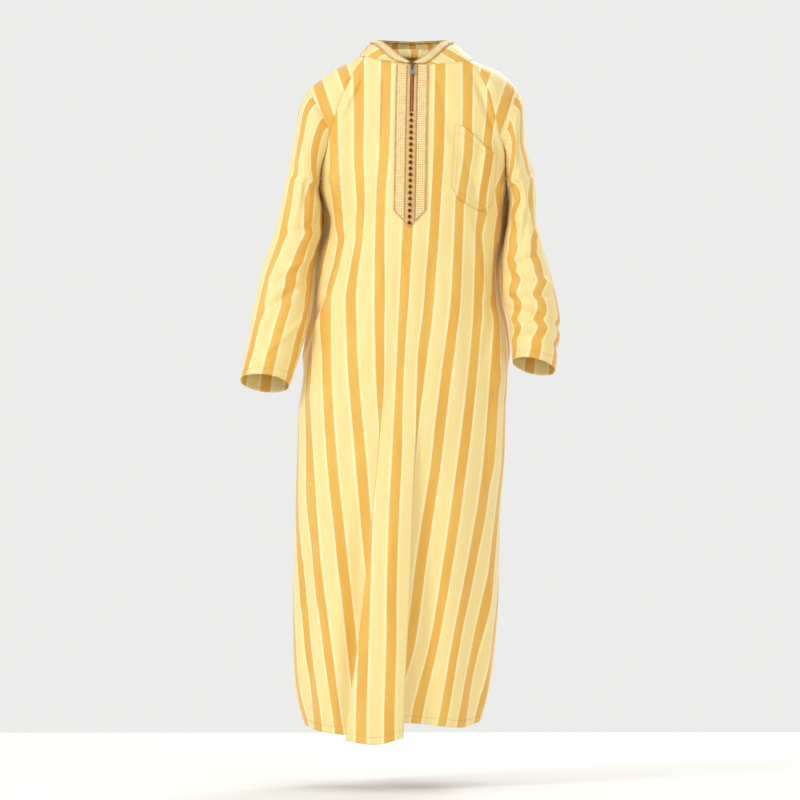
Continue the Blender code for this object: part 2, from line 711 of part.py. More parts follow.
def hoodKnot(name, place, layer):
    """One of the guide points of the hood's cloth between neck seam and free edge."""
    sign = -1 if name == "left" else 1
    edgeX, edgeY, edgeZ, fall, bulge = readRow(hoodRows, place)
    along, down, swell, clear, widen, rise = layer
    base = neckPoint(name, place)
    edge = Vector((sign * edgeX, edgeY, edgeZ))
    point = base.lerp(edge, along)
    outward = Vector((base.x, base.y, 0)).normalized()
    point += outward * bulge * swell
    point.x *= 1 + widen * min(1.0, fall / 0.1)
    point.z += rise * min(1.0, fall / 0.1) - down * fall
    if fall > 0 and point.y > 0 and 0 < along < 1:
        share = min(1.0, fall / 0.05)
        level = min(point.z, 0.0)
        surface = trunkPoint(turnOf(point.x, level), level, 1).y + clear
        point.y = mix(point.y, max(point.y, surface), share)
    return point


def curveThrough(points, count, lastPart):
    """Even places along a smooth line through points, the last part cut in two."""
    fine = []
    for at in range(len(points) - 1):
        before = points[max(at - 1, 0)]
        low = points[at]
        high = points[at + 1]
        after = points[min(at + 2, len(points) - 1)]
        for step in range(12):
            t = step / 12
            fine.append(
                0.5 * (
                    2 * low + (high - before) * t
                    + (2 * before - 5 * low + 4 * high - after) * t * t
                    + (3 * low - before - 3 * high + after) * t ** 3
                )
            )
    fine.append(points[-1])
    length = [0.0]
    for at in range(1, len(fine)):
        length.append(length[-1] + (fine[at] - fine[at - 1]).length)
    total = length[-1]
    lastPart = min(lastPart, total * 0.86)
    targets = [(total - lastPart) * at / count for at in range(count)]
    targets += [total - lastPart, total - lastPart / 2, total]
    places = []
    for target in targets:
        at = 0
        while at < len(length) - 2 and length[at + 1] < target:
            at += 1
        share = (target - length[at]) / max(length[at + 1] - length[at], 1e-9)
        places.append(fine[at].lerp(fine[at + 1], share))
    return places


hoodSteps = [0, 0.08, 0.16, 0.24, 0.3, 0.38, 0.46, 0.54, 0.6, 0.66, 0.72, 0.79, 0.86, 0.93]
hoodStops = [("left", at) for at in hoodSteps] + [("left", 1.0)]
hoodStops += [("right", at) for at in reversed(hoodSteps)]
hoodColumns = [
    curveThrough([hoodKnot(name, place, layer) for layer in hoodLayers], 12, trimWidth)
    for name, place in hoodStops
]
hoodGrid = [[column[r] for column in hoodColumns] for r in range(len(hoodColumns[0]))]
middle = len(hoodColumns) // 2
lastRow = len(hoodGrid) - 1
makeWall("hood", hoodGrid, clothWall, clothHood, Vector((0, 1, 0)), None, None, (lastRow, middle))


def gridNormals(grid, outside, probe):
    """Directions square to a grid of points."""
    normals = []
    rows = len(grid)
    columns = len(grid[0])
    for r in range(rows):
        line = []
        for c in range(columns):
            across = grid[r][min(c + 1, columns - 1)] - grid[r][max(c - 1, 0)]
            down = grid[min(r + 1, rows - 1)][c] - grid[max(r - 1, 0)][c]
            line.append(across.cross(down).normalized())
        normals.append(line)
    sign = 1 if normals[probe[0]][probe[1]].dot(outside) > 0 else -1
    return [[normal * sign for normal in line] for line in normals]


hoodDirections = gridNormals(hoodGrid, Vector((0, 1, 0)), (lastRow, middle))
trimGridPoints = [
    [
        hoodGrid[r][c] + hoodDirections[r][c] * (layerGap * 2 + trimWall)
        for c in range(len(hoodColumns))
    ]
    for r in range(lastRow - 2, lastRow + 1)
]
trimGridPoints[0] = [p.lerp(q, 0.06) for p, q in zip(trimGridPoints[0], trimGridPoints[1])]
makeWall(
    "hood_trim", trimGridPoints, trimWall, trimCream, Vector((0, 1, 0)), None, None, (2, middle)
)


panelWidth = len(frontEdge[0])
panelCells = [
    (r * panelWidth + c, r * panelWidth + c + 1, (r + 1) * panelWidth + c + 1, (r + 1) * panelWidth + c)
    for r in range(len(frontEdge) - 1)
    for c in range(panelWidth - 1)
]
panelTree = BVHTree.FromPolygons([point for line in frontEdge for point in line], panelCells)


def panelPoint(x, z, lift):
    """A place above the front panel, straight in front of a place x and z."""
    found = panelTree.ray_cast(Vector((x, -1, z)), Vector((0, 1, 0)))[0]
    return found + trunkNormal(turnOf(x, z), z, -1) * lift


def placketAxis(z):
    return readRow(placketMiddle, z)[0]


def placketGrid(inner, outer, heights, top):
    """Rows of a strip of the placket between two distances from its middle."""
    return [
        [
            panelPoint(placketAxis(z) + mix(inner(z), outer(z), share), z, top)
            for share in (0, 0.5, 1)
        ]
        for z in heights
    ]


def placketSide(z):
    """Half width of the placket, closing to a point below."""
    closing = (z - placketEnd) / (placketShoulder - placketEnd)
    return placketHalf * min(1.0, max(0.0, closing))


def spread(first, last, count):
    return [mix(first, last, at / count) for at in range(count + 1)]


sideEnd = placketEnd + (placketShoulder - placketEnd) * (bandHalf + 0.0016) / placketHalf
middleLine = [line[len(acrossSteps) // 2].z for line in frontEdge]


def heightsBetween(first, last):
    """Heights of the panel's own lines between two heights, with both ends."""
    inside = [z for z in middleLine if first - 0.006 > z > last + 0.006]
    return [first] + inside + [last]


upperHeights = heightsBetween(placketTop, placketShoulder)
sideHeights = upperHeights + [mix(placketShoulder, sideEnd, 0.5), sideEnd]
bandEnd = placketEnd + 0.0008
bandHeights = upperHeights + [sideEnd, bandEnd]
layerTop = layerGap + trimWall
forward = Vector((0, -1, 0))
for name, sign, material in (("left", -1, placketCreamL), ("right", 1, placketCreamR)):
    grid = placketGrid(
        lambda z: sign * (bandHalf + 0.0003), lambda z: sign * placketSide(z), sideHeights, layerTop
    )
    makeWall("placket_" + name, grid, trimWall, material, forward)
grid = placketGrid(
    lambda z: -min(bandHalf, placketSide(z)), lambda z: min(bandHalf, placketSide(z)),
    bandHeights, layerTop,
)
makeWall("placket_band", grid, trimWall, placketTan, forward)
tapeTop = layerTop + 0.0003 + zipRise
grid = placketGrid(lambda z: -zipHalf, lambda z: zipHalf, heightsBetween(zipTop, zipEnd), tapeTop)
makeWall("zip_tape", grid, zipRise, zipBrown, forward)


pocketGrid = []
for down in spread(0, 1, 8):
    line = []
    for share in spread(0, 1, 9):
        topX, topZ, endX, endZ = readRow(pocketRows, share)
        line.append(panelPoint(mix(topX, endX, down), mix(topZ, endZ, down), 0.0018 + trimWall))
    pocketGrid.append(line)
makeWall("pocket", pocketGrid, trimWall, clothPocket, Vector((0.4, -1, 0)))

for number in range(knotCount):
    z = mix(knotFirst, knotLast, number / (knotCount - 1))
    x = placketAxis(z)
    outward = trunkNormal(turnOf(x, z), z, -1)
    centre = panelPoint(x, z, layerTop + 0.0003 + knotRise / 2)
    turned = Vector((0, 0, 1)).rotation_difference(outward).to_matrix().to_4x4()
    size = Matrix.Diagonal((knotWidth / 2, knotWidth / 2, knotRise / 2, 1))
    place = Matrix.Translation(centre) @ turned @ size
    mesh = bmesh.new()
    bmesh.ops.create_uvsphere(mesh, u_segments=8, v_segments=5, radius=1, matrix=place)
    finishMesh(mesh, "knot_%02d" % (number + 1), knotBrown)


def quadMesh(quads, matrix):
    """A mesh from corner lists, sharing equal corners."""
    mesh = bmesh.new()
    corners = {}
    for quad in quads:
        line = []
        for corner in quad:
            key = tuple(round(value, 6) for value in corner)
            if key not in corners:
                corners[key] = mesh.verts.new(matrix @ Vector(corner))
            line.append(corners[key])
        mesh.faces.new(line)
    bmesh.ops.recalc_face_normals(mesh, faces=mesh.faces)
    return mesh


def plateQuads(columns, rows, depths, holes):
    """Quads of a plate with open cells, columns(row) giving x places at a row."""
    near, far = depths
    quads = []
    width = len(columns(rows[0])) - 1
    solid = {(r, c) for r in range(len(rows) - 1) for c in range(width)} - set(holes)

    def corner(r, c, depth):
        return (columns(rows[r])[c], depth, rows[r])

    for r, c in solid:
        loop = ((r, c), (r, c + 1), (r + 1, c + 1), (r + 1, c))
        for depth in depths:
            quads.append([corner(*at, depth) for at in loop])
        sides = (
            ((r - 1, c), loop[0], loop[1]), ((r, c + 1), loop[1], loop[2]),
            ((r + 1, c), loop[2], loop[3]), ((r, c - 1), loop[3], loop[0]),
        )
        for other, first, second in sides:
            if other not in solid:
                quads.append(
                    [corner(*first, near), corner(*second, near), corner(*second, far), corner(*first, far)]
                )
    return quads


pullX = placketAxis(pullHeight)
outward = trunkNormal(turnOf(pullX, pullHeight), pullHeight, -1)
outward = Vector((0, outward.y, outward.z)).normalized()
upward = outward.cross(Vector((1, 0, 0)))
bodyFace = tapeTop + 0.0004 + sliderDeep
pinOut = 0.00095
# local axes of the slider: x, out of the cloth, up along the cloth
frame = Matrix((
    (1, 0, 0, 0), (0, outward.y, upward.y, 0), (0, outward.z, upward.z, 0), (0, 0, 0, 1),
))
face = panelPoint(pullX, pullHeight, bodyFace)
sliderMatrix = Matrix.Translation(face) @ frame


def sliderColumns(row):
    half = 0.0043 if row > 0.003 else mix(0.0033, 0.0043, (row + 0.0055) / 0.0085)
    return (-half, -0.0008, 0.0008, half)


archInner = 0.0019
archOuter = 0.0032
sliderRows = (0.0050, archOuter, archInner, -archInner, -archOuter, -0.0055)
quads = plateQuads(sliderColumns, sliderRows, (0, -sliderDeep), [])
feet = set()
for quad in quads:
    flat = all(abs(corner[1]) < 1e-9 for corner in quad)
    middleX = abs(sum(corner[0] for corner in quad)) < 1e-6
    level = abs(sum(corner[2] for corner in quad) / 4)
    if flat and middleX and archInner < level < archOuter:
        feet.add(tuple(quad))
quads = [quad for quad in quads if tuple(quad) not in feet]
archSteps = 8
for at in range(archSteps):
    turns = [math.pi * (0.5 - step / archSteps) for step in (at, at + 1)]
    ring = []
    for turn in turns:
        ring.append([
            (x, radius * math.cos(turn) if 0 < abs(turn) < 1.57 or turn == 0 else 0.0, radius * math.sin(turn))
            for x, radius in (
                (-0.0008, archInner), (0.0008, archInner), (0.0008, archOuter), (-0.0008, archOuter)
            )
        ])
    for side in range(4):
        after = (side + 1) % 4
        quads.append([ring[0][side], ring[0][after], ring[1][after], ring[1][side]])
finishMesh(quadMesh(quads, sliderMatrix), "zip_slider", sliderGrey)


def pullColumns(row):
    half = 0.0036 if row > -0.0065 else mix(0.0047, 0.0036, (row + 0.0190) / 0.0125)
    if row < -0.0190:
        half = 0.0036
    return (-half, -0.0018, 0.0018, half)


pullRows = (0.0006, -0.0006, -0.0062, -0.0078, -0.0104, -0.0150, -0.0190, -0.0215)
quads = plateQuads(pullColumns, pullRows, (0.0006, -0.0006), [(1, 1), (3, 1)])
pivot = face + outward * pinOut
finishMesh(quadMesh(quads, frame), "pull_tab", pullGrey, pivot)
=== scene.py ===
# Long hooded striped robe: cloth, embroidery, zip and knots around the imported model.
# Metres, +Z up, the front faces -Y. Left and right are the viewer's, so left is -X.
import math

import bmesh
import bpy
from mathutils import Matrix, Vector
from mathutils.bvhtree import BVHTree


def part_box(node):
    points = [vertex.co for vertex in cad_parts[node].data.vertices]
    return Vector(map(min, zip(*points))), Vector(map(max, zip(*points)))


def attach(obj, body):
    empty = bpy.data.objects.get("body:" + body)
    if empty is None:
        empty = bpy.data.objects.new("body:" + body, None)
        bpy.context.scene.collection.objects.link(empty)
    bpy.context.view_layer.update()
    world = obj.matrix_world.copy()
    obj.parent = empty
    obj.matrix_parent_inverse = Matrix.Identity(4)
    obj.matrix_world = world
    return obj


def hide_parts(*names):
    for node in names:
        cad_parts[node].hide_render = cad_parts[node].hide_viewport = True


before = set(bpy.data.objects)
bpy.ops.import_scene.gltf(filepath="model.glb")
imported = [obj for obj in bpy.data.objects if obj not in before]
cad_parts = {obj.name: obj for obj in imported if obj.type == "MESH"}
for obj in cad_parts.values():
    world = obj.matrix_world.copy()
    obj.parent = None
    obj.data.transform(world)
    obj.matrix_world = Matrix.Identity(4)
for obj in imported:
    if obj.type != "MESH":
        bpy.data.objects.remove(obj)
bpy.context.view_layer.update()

# height, left edge, right edge, front depth, back depth
trunkRows = (
    (-1.420, -0.2060, 0.1240, 0.148, 0.135),
    (-1.374, -0.2220, 0.1390, 0.146, 0.134),
    (-1.335, -0.2340, 0.1500, 0.144, 0.132),
    (-1.298, -0.2410, 0.1590, 0.142, 0.131),
    (-1.257, -0.2440, 0.1670, 0.140, 0.130),
    (-1.201, -0.2450, 0.1730, 0.139, 0.129),
    (-1.119, -0.2450, 0.1780, 0.138, 0.129),
    (-1.036, -0.2430, 0.1800, 0.138, 0.130),
    (-0.927, -0.2410, 0.1830, 0.139, 0.133),
    (-0.807, -0.2360, 0.1920, 0.140, 0.136),
    (-0.729, -0.2340, 0.1930, 0.140, 0.135),
    (-0.672, -0.2256, 0.1960, 0.140, 0.133),
    (-0.624, -0.2190, 0.1950, 0.140, 0.130),
    (-0.593, -0.2090, 0.1935, 0.139, 0.127),
    (-0.569, -0.2025, 0.1910, 0.138, 0.124),
    (-0.501, -0.2000, 0.1785, 0.136, 0.118),
    (-0.439, -0.1945, 0.1735, 0.135, 0.118),
    (-0.402, -0.1870, 0.1770, 0.135, 0.119),
    (-0.367, -0.1740, 0.1840, 0.134, 0.120),
    (-0.336, -0.1690, 0.1860, 0.134, 0.121),
    (-0.311, -0.1770, 0.1875, 0.133, 0.123),
    (-0.268, -0.1905, 0.1950, 0.132, 0.126),
    (-0.229, -0.1930, 0.2030, 0.129, 0.128),
    (-0.192, -0.1970, 0.2130, 0.124, 0.128),
    (-0.157, -0.2030, 0.2220, 0.118, 0.126),
    (-0.115, -0.2070, 0.2260, 0.112, 0.121),
    (-0.076, -0.2030, 0.2220, 0.103, 0.114),
    (-0.039, -0.1860, 0.2050, 0.090, 0.101),
    (-0.018, -0.1650, 0.1850, 0.080, 0.092),
    (0.000, -0.1420, 0.1600, 0.074, 0.084),
    (0.020, -0.1300, 0.1460, 0.070, 0.078),
)

# row from the neck down to the armpit, x, height
raglanRows = {
    "left": (
        (0, -0.0948, 0.0000), (1, -0.1215, -0.0391), (2, -0.1401, -0.0762), (3, -0.1545, -0.1154),
        (4, -0.1689, -0.1566), (5, -0.1751, -0.1916), (6, -0.1854, -0.2287), (7, -0.1905, -0.2680),
    ),
    "right": (
        (0, 0.1133, -0.0103), (1, 0.1380, -0.0350), (2, 0.1545, -0.0700), (3, 0.1669, -0.1174),
        (4, 0.1854, -0.1833), (5, 0.1895, -0.2122), (6, 0.1926, -0.2390), (7, 0.1950, -0.2680),
    ),
}

# row from the neck to the cuff, outer x, outer height, inner x, inner height,
# half depth, forward reach, front lift of the cuff
sleeveRows = {
    "left": (
        (0, -0.1071, 0.0010, 0, 0, 0.020, 0, 0),
        (1, -0.1380, -0.0155, 0, 0, 0.030, 0, 0),
        (2, -0.1648, -0.0299, 0, 0, 0.045, 0, 0),
        (3, -0.1895, -0.0484, 0, 0, 0.058, 0, 0),
        (4, -0.2122, -0.0680, 0, 0, 0.068, 0, 0),
        (5, -0.2297, -0.1051, 0, 0, 0.073, 0, 0),
        (6, -0.2390, -0.1669, 0, 0, 0.074, 0, 0),
        (7, -0.2554, -0.2472, -0.1905, -0.2680, 0.073, 0.000, 0),
        (8, -0.2688, -0.2966, -0.1848, -0.3111, 0.071, 0.003, 0),
        (9, -0.2781, -0.3420, -0.1848, -0.3584, 0.069, 0.008, 0),
        (10, -0.2925, -0.3914, -0.1945, -0.4017, 0.067, 0.014, 0),
        (11, -0.3080, -0.4388, -0.2032, -0.4450, 0.065, 0.020, 0),
        (12, -0.3193, -0.4862, -0.2075, -0.4923, 0.063, 0.027, 0),
        (13, -0.3296, -0.5377, -0.2115, -0.5356, 0.061, 0.034, 0.002),
        (14, -0.3378, -0.5850, -0.2190, -0.5727, 0.058, 0.042, 0.006),
        (15, -0.3451, -0.6262, -0.2320, -0.6201, 0.055, 0.050, 0.012),
        (16, -0.3523, -0.6664, -0.2524, -0.6780, 0.052, 0.058, 0.018),
    ),
    "right": (
        (0, 0.1240, -0.0085, 0, 0, 0.020, 0, 0),
        (1, 0.1490, -0.0175, 0, 0, 0.030, 0, 0),
        (2, 0.1720, -0.0270, 0, 0, 0.045, 0, 0),
        (3, 0.1930, -0.0412, 0, 0, 0.058, 0, 0),
        (4, 0.2153, -0.0659, 0, 0, 0.070, 0, 0),
        (5, 0.2287, -0.0968, 0, 0, 0.075, 0, 0),
        (6, 0.2328, -0.1710, 0, 0, 0.077, 0, 0),
        (7, 0.2524, -0.2472, 0.1950, -0.2680, 0.077, 0.000, 0),
        (8, 0.2554, -0.2884, 0.1990, -0.3008, 0.076, 0.004, 0),
        (9, 0.2561, -0.3337, 0.1960, -0.3399, 0.075, 0.010, 0),
        (10, 0.2657, -0.3790, 0.1890, -0.3811, 0.073, 0.018, 0),
        (11, 0.2781, -0.4223, 0.1840, -0.4223, 0.070, 0.026, 0),
        (12, 0.2894, -0.4656, 0.1840, -0.4656, 0.067, 0.034, 0),
        (13, 0.2987, -0.5088, 0.1885, -0.5068, 0.064, 0.042, 0.002),
        (14, 0.3049, -0.5521, 0.1970, -0.5459, 0.061, 0.050, 0.006),
        (15, 0.3018, -0.5933, 0.2020, -0.5871, 0.058, 0.057, 0.010),
        (16, 0.2936, -0.6468, 0.2065, -0.6283, 0.054, 0.062, 0.016),
    ),
}

# place across the panel from side seam to side seam, height of the hem
frontHemRows = (
    (0, -1.372), (0.5, -1.381), (1, -1.389), (1.5, -1.396), (2, -1.399), (2.5, -1.406),
    (3, -1.392), (3.5, -1.368), (4, -1.364), (4.5, -1.375), (5, -1.360),
)

# height, left edge, right edge, rise of the flute in front of the legs
fluteRows = (
    (-1.420, -0.138, -0.016, 0.034),
    (-1.285, -0.124, -0.011, 0.030),
    (-1.098, -0.101, -0.002, 0.024),
    (-0.921, -0.081, 0.003, 0.016),
    (-0.756, -0.064, 0.010, 0.005),
    (-0.680, -0.057, 0.015, 0.000),
    (-0.300, -0.047, 0.034, 0.000),
    (0.020, -0.036, 0.040, 0.000),
)

# top x, top height, bottom x, bottom height, rise, width to the left, width to the right
frontFolds = (
    (-0.110, -0.330, -0.216, -0.630, 0.010, 0.009, 0.060),
    (-0.132, -0.120, -0.122, -0.370, -0.006, 0.014, 0.018),
    (-0.158, -0.200, -0.150, -0.380, 0.006, 0.012, 0.014),
    (0.034, -0.360, 0.048, -0.720, -0.006, 0.026, 0.026),
    (0.140, -0.150, 0.134, -0.420, -0.005, 0.019, 0.019),
    (0.168, -0.210, 0.150, -0.480, 0.004, 0.018, 0.018),
    (0.150, -0.500, 0.178, -0.700, 0.007, 0.016, 0.020),
    (-0.175, -0.760, -0.165, -1.500, 0.013, 0.045, 0.045),
    (0.090, -0.780, 0.070, -1.500, 0.015, 0.045, 0.050),
    (-0.120, -0.700, -0.145, -1.050, -0.006, 0.020, 0.020),
)
backFolds = (
    (-0.110, -0.360, -0.130, -1.500, 0.014, 0.034, 0.034),
    (-0.055, -0.500, -0.062, -1.500, -0.010, 0.024, 0.024),
    (-0.008, -0.420, -0.012, -1.500, 0.012, 0.026, 0.026),
    (0.040, -0.560, 0.036, -1.500, -0.010, 0.022, 0.022),
    (0.090, -0.380, 0.084, -1.500, 0.014, 0.032, 0.032),
)

# creases too fine for the solids, in the same columns
frontCreases = (
    (-0.060, -0.026, -0.066, -0.200, -0.0036, 0.004, 0.009),
    (-0.096, -0.040, -0.158, -0.170, -0.0046, 0.005, 0.010),
    (-0.122, -0.070, -0.168, -0.230, 0.0034, 0.006, 0.008),
    (0.120, -0.026, 0.180, -0.190, -0.0050, 0.005, 0.011),
    (0.146, -0.045, 0.190, -0.240, 0.0044, 0.006, 0.009),
    (0.046, -0.030, 0.090, -0.210, -0.0026, 0.006, 0.014),
    (-0.152, -0.095, -0.128, -0.215, 0.0030, 0.006, 0.010),
    (-0.160, -0.150, -0.118, -0.300, -0.0035, 0.007, 0.009),
    (-0.172, -0.225, -0.128, -0.345, 0.0040, 0.006, 0.010),
    (-0.100, -0.300, -0.176, -0.480, 0.0045, 0.004, 0.016),
    (-0.145, -0.400, -0.196, -0.545, -0.0040, 0.006, 0.008),
    (-0.060, -0.420, -0.125, -0.700, 0.0030, 0.010, 0.016),
    (-0.020, -0.400, -0.050, -0.760, -0.0025, 0.012, 0.014),
    (0.100, -0.200, 0.142, -0.315, -0.0032, 0.008, 0.010),
    (0.158, -0.145, 0.128, -0.330, 0.0040, 0.007, 0.009),
    (0.172, -0.160, 0.158, -0.380, -0.0040, 0.006, 0.009),
    (0.118, -0.320, 0.152, -0.520, 0.0035, 0.009, 0.007),
    (0.086, -0.360, 0.092, -0.760, 0.0030, 0.012, 0.016),
    (0.062, -0.420, 0.034, -0.840, 0.0030, 0.010, 0.014),
    (0.166, -0.470, 0.146, -0.640, -0.0040, 0.007, 0.009),
    (0.176, -0.620, 0.160, -0.900, 0.0045, 0.008, 0.012),
    (-0.205, -0.640, -0.196, -0.960, 0.0045, 0.008, 0.010),
    (-0.100, -0.820, -0.128, -1.320, -0.0050, 0.014, 0.018),
    (-0.205, -0.900, -0.214, -1.480, -0.0060, 0.012, 0.015),
    (-0.140, -1.050, -0.152, -1.480, 0.0040, 0.012, 0.014),
    (0.040, -0.800, 0.022, -1.480, -0.0055, 0.013, 0.018),
    (0.130, -0.900, 0.118, -1.480, -0.0045, 0.014, 0.016),
    (0.158, -1.000, 0.142, -1.480, 0.0040, 0.010, 0.012),
    (-0.038, -0.900, -0.052, -1.480, 0.0025, 0.018, 0.022),
)
backCreases = (
    (-0.150, -0.120, -0.040, -0.330, 0.0040, 0.012, 0.016),
    (0.160, -0.120, 0.050, -0.340, 0.0040, 0.016, 0.012),
    (-0.165, -0.190, -0.080, -0.420, -0.0035, 0.010, 0.014),
    (0.176, -0.200, 0.090, -0.430, -0.0035, 0.014, 0.010),
    (-0.180, -0.300, -0.150, -0.620, 0.0045, 0.010, 0.014),
    (0.176, -0.310, 0.150, -0.600, 0.0045, 0.014, 0.010),
    (-0.150, -0.700, -0.176, -1.480, -0.0065, 0.016, 0.018),
    (0.126, -0.640, 0.132, -1.480, -0.0060, 0.016, 0.016),
    (-0.085, -0.620, -0.094, -1.480, 0.0040, 0.012, 0.014),
    (0.015, -0.700, 0.012, -1.480, -0.0050, 0.012, 0.014),
    (0.066, -0.800, 0.062, -1.480, 0.0045, 0.010, 0.012),
    (-0.205, -0.760, -0.212, -1.400, 0.0050, 0.010, 0.012),
    (0.160, -0.820, 0.150, -1.400, 0.0045, 0.012, 0.010),
)

# height, fullness of the back cloth behind the left and the right sleeve
sideFullness = (
    (-0.700, 0.000, 0.000), (-0.640, 0.008, 0.008), (-0.600, 0.018, 0.014), (-0.573, 0.022, 0.014),
    (-0.536, 0.017, 0.015), (-0.500, 0.015, 0.015), (-0.445, 0.014, 0.015), (-0.402, 0.015, 0.014),
    (-0.367, 0.018, 0.014), (-0.336, 0.023, 0.017), (-0.311, 0.018, 0.018), (-0.285, 0.015, 0.017),
    (-0.268, 0.009, 0.010), (-0.248, 0.000, 0.000),
)

# first row, first turn, last row, last turn, rise, width in rows, width in turns;
# one that is over 2 rows wide runs down the sleeve, any other runs round it
sleeveFolds = {
    "left": (
        (11.0, 0.20, 15.4, 0.36, -0.005, 9.0, 0.035),
        (7.6, 0.10, 12.5, 0.10, -0.006, 9.0, 0.040),
        (8.0, 0.62, 15.0, 0.66, 0.005, 9.0, 0.060),
        (11.2, 0.70, 12.4, 0.95, -0.004, 0.50, 0.90),
    ),
    "right": (
        (13.4, 0.02, 13.9, 0.34, -0.007, 0.36, 0.90),
        (14.1, 0.04, 14.5, 0.40, 0.006, 0.34, 0.90),
        (14.8, 0.04, 15.0, 0.30, -0.004, 0.30, 0.90),
        (8.0, 0.14, 13.0, 0.26, -0.006, 9.0, 0.050),
        (12.2, 0.08, 13.4, 0.36, 0.005, 0.40, 0.90),
        (8.0, 0.64, 14.0, 0.70, 0.005, 9.0, 0.060),
    ),
}
sleeveCreases = {
    "left": (
        (4.6, 0.30, 8.6, 0.20, -0.0040, 9.0, 0.030),
        (5.2, 0.22, 9.6, 0.30, 0.0035, 9.0, 0.026),
        (4.4, 0.52, 8.0, 0.42, 0.0030, 9.0, 0.030),
        (8.6, 0.04, 9.7, 0.42, -0.0040, 0.22, 0.90),
        (10.2, 0.08, 11.6, 0.40, 0.0035, 0.20, 0.90),
        (11.4, 0.10, 13.2, 0.44, -0.0040, 0.22, 0.90),
        (12.8, 0.06, 15.2, 0.30, 0.0030, 0.26, 0.90),
        (9.0, 0.56, 10.4, 0.94, -0.0045, 0.24, 0.90),
        (12.2, 0.58, 11.4, 0.92, 0.0040, 0.22, 0.90),
        (13.8, 0.55, 12.9, 0.90, -0.0035, 0.24, 0.90),
        (9.0, 0.40, 15.8, 0.47, -0.0025, 9.0, 0.030),
    ),
    "right": (
        (4.6, 0.28, 8.8, 0.16, -0.0045, 9.0, 0.032),
        (5.4, 0.18, 9.4, 0.34, 0.0040, 9.0, 0.028),
        (6.8, 0.38, 10.8, 0.22, -0.0045, 9.0, 0.030),
        (8.6, 0.06, 9.9, 0.46, 0.0040, 0.26, 0.90),
        (10.4, 0.44, 11.7, 0.04, -0.0050, 0.24, 0.90),
        (11.2, 0.06, 12.2, 0.46, 0.0050, 0.22, 0.90),
        (12.9, 0.06, 12.5, 0.46, -0.0055, 0.22, 0.90),
        (13.6, 0.20, 14.4, 0.60, -0.0045, 0.22, 0.90),
        (14.9, 0.30, 15.4, 0.62, -0.0035, 0.20, 0.90),
        (11.0, 0.56, 12.0, 0.94, -0.0050, 0.28, 0.90),
        (12.8, 0.58, 13.4, 0.94, 0.0050, 0.26, 0.90),
        (14.2, 0.60, 14.4, 0.92, -0.0045, 0.24, 0.90),
    ),
}

# place about the neck from front to back, free edge x, y and height, fall behind, bulge
hoodRows = (
    (0.00, 0.0020, -0.0805, -0.0158, 0.000, 0.000),
    (0.12, 0.0230, -0.0720, -0.0030, 0.000, 0.002),
    (0.24, 0.0440, -0.0500, 0.0150, 0.000, 0.004),
    (0.36, 0.0600, -0.0160, 0.0290, 0.000, 0.008),
    (0.48, 0.0680, 0.0250, 0.0350, 0.000, 0.011),
    (0.60, 0.0680, 0.0660, 0.0370, 0.016, 0.014),
    (0.66, 0.0630, 0.0840, 0.0375, 0.090, 0.016),
    (0.72, 0.0560, 0.0980, 0.0380, 0.165, 0.018),
    (0.86, 0.0320, 0.1180, 0.0380, 0.270, 0.022),
    (1.00, 0.0000, 0.1260, 0.0370, 0.340, 0.026),
)

# place along the cloth of the hood, share of the fall, bulge, clear of the back, widening, rise
hoodLayers = (
    (0.00, 0.00, 0.00, 0.002, 0.00, 0.000),
    (0.12, 0.03, 0.60, 0.008, 0.05, 0.010),
    (0.30, 0.52, 0.75, 0.009, 0.16, 0.000),
    (0.48, 0.98, 0.90, 0.009, 0.06, 0.000),
    (0.56, 0.98, 1.10, 0.020, 0.08, 0.000),
    (0.72, 0.48, 1.25, 0.036, 0.22, 0.000),
    (0.90, 0.05, 0.70, 0.014, 0.06, 0.000),
    (1.00, 0.00, 0.00, 0.002, 0.00, 0.000),
)

# place across, top x, top height, bottom x, bottom height
pocketRows = (
    (0.00, 0.0870, -0.1442, 0.0800, -0.2699),
    (0.20, 0.1030, -0.1483, 0.0950, -0.2950),
    (0.45, 0.1250, -0.1648, 0.1190, -0.3110),
    (0.70, 0.1500, -0.1895, 0.1420, -0.3200),
    (1.00, 0.1730, -0.2050, 0.1650, -0.3040),
)

# height, middle of the placket
placketMiddle = ((-0.3600, -0.0058), (-0.3230, -0.0048), (-0.0890, -0.0008), (-0.0180, 0.0010))

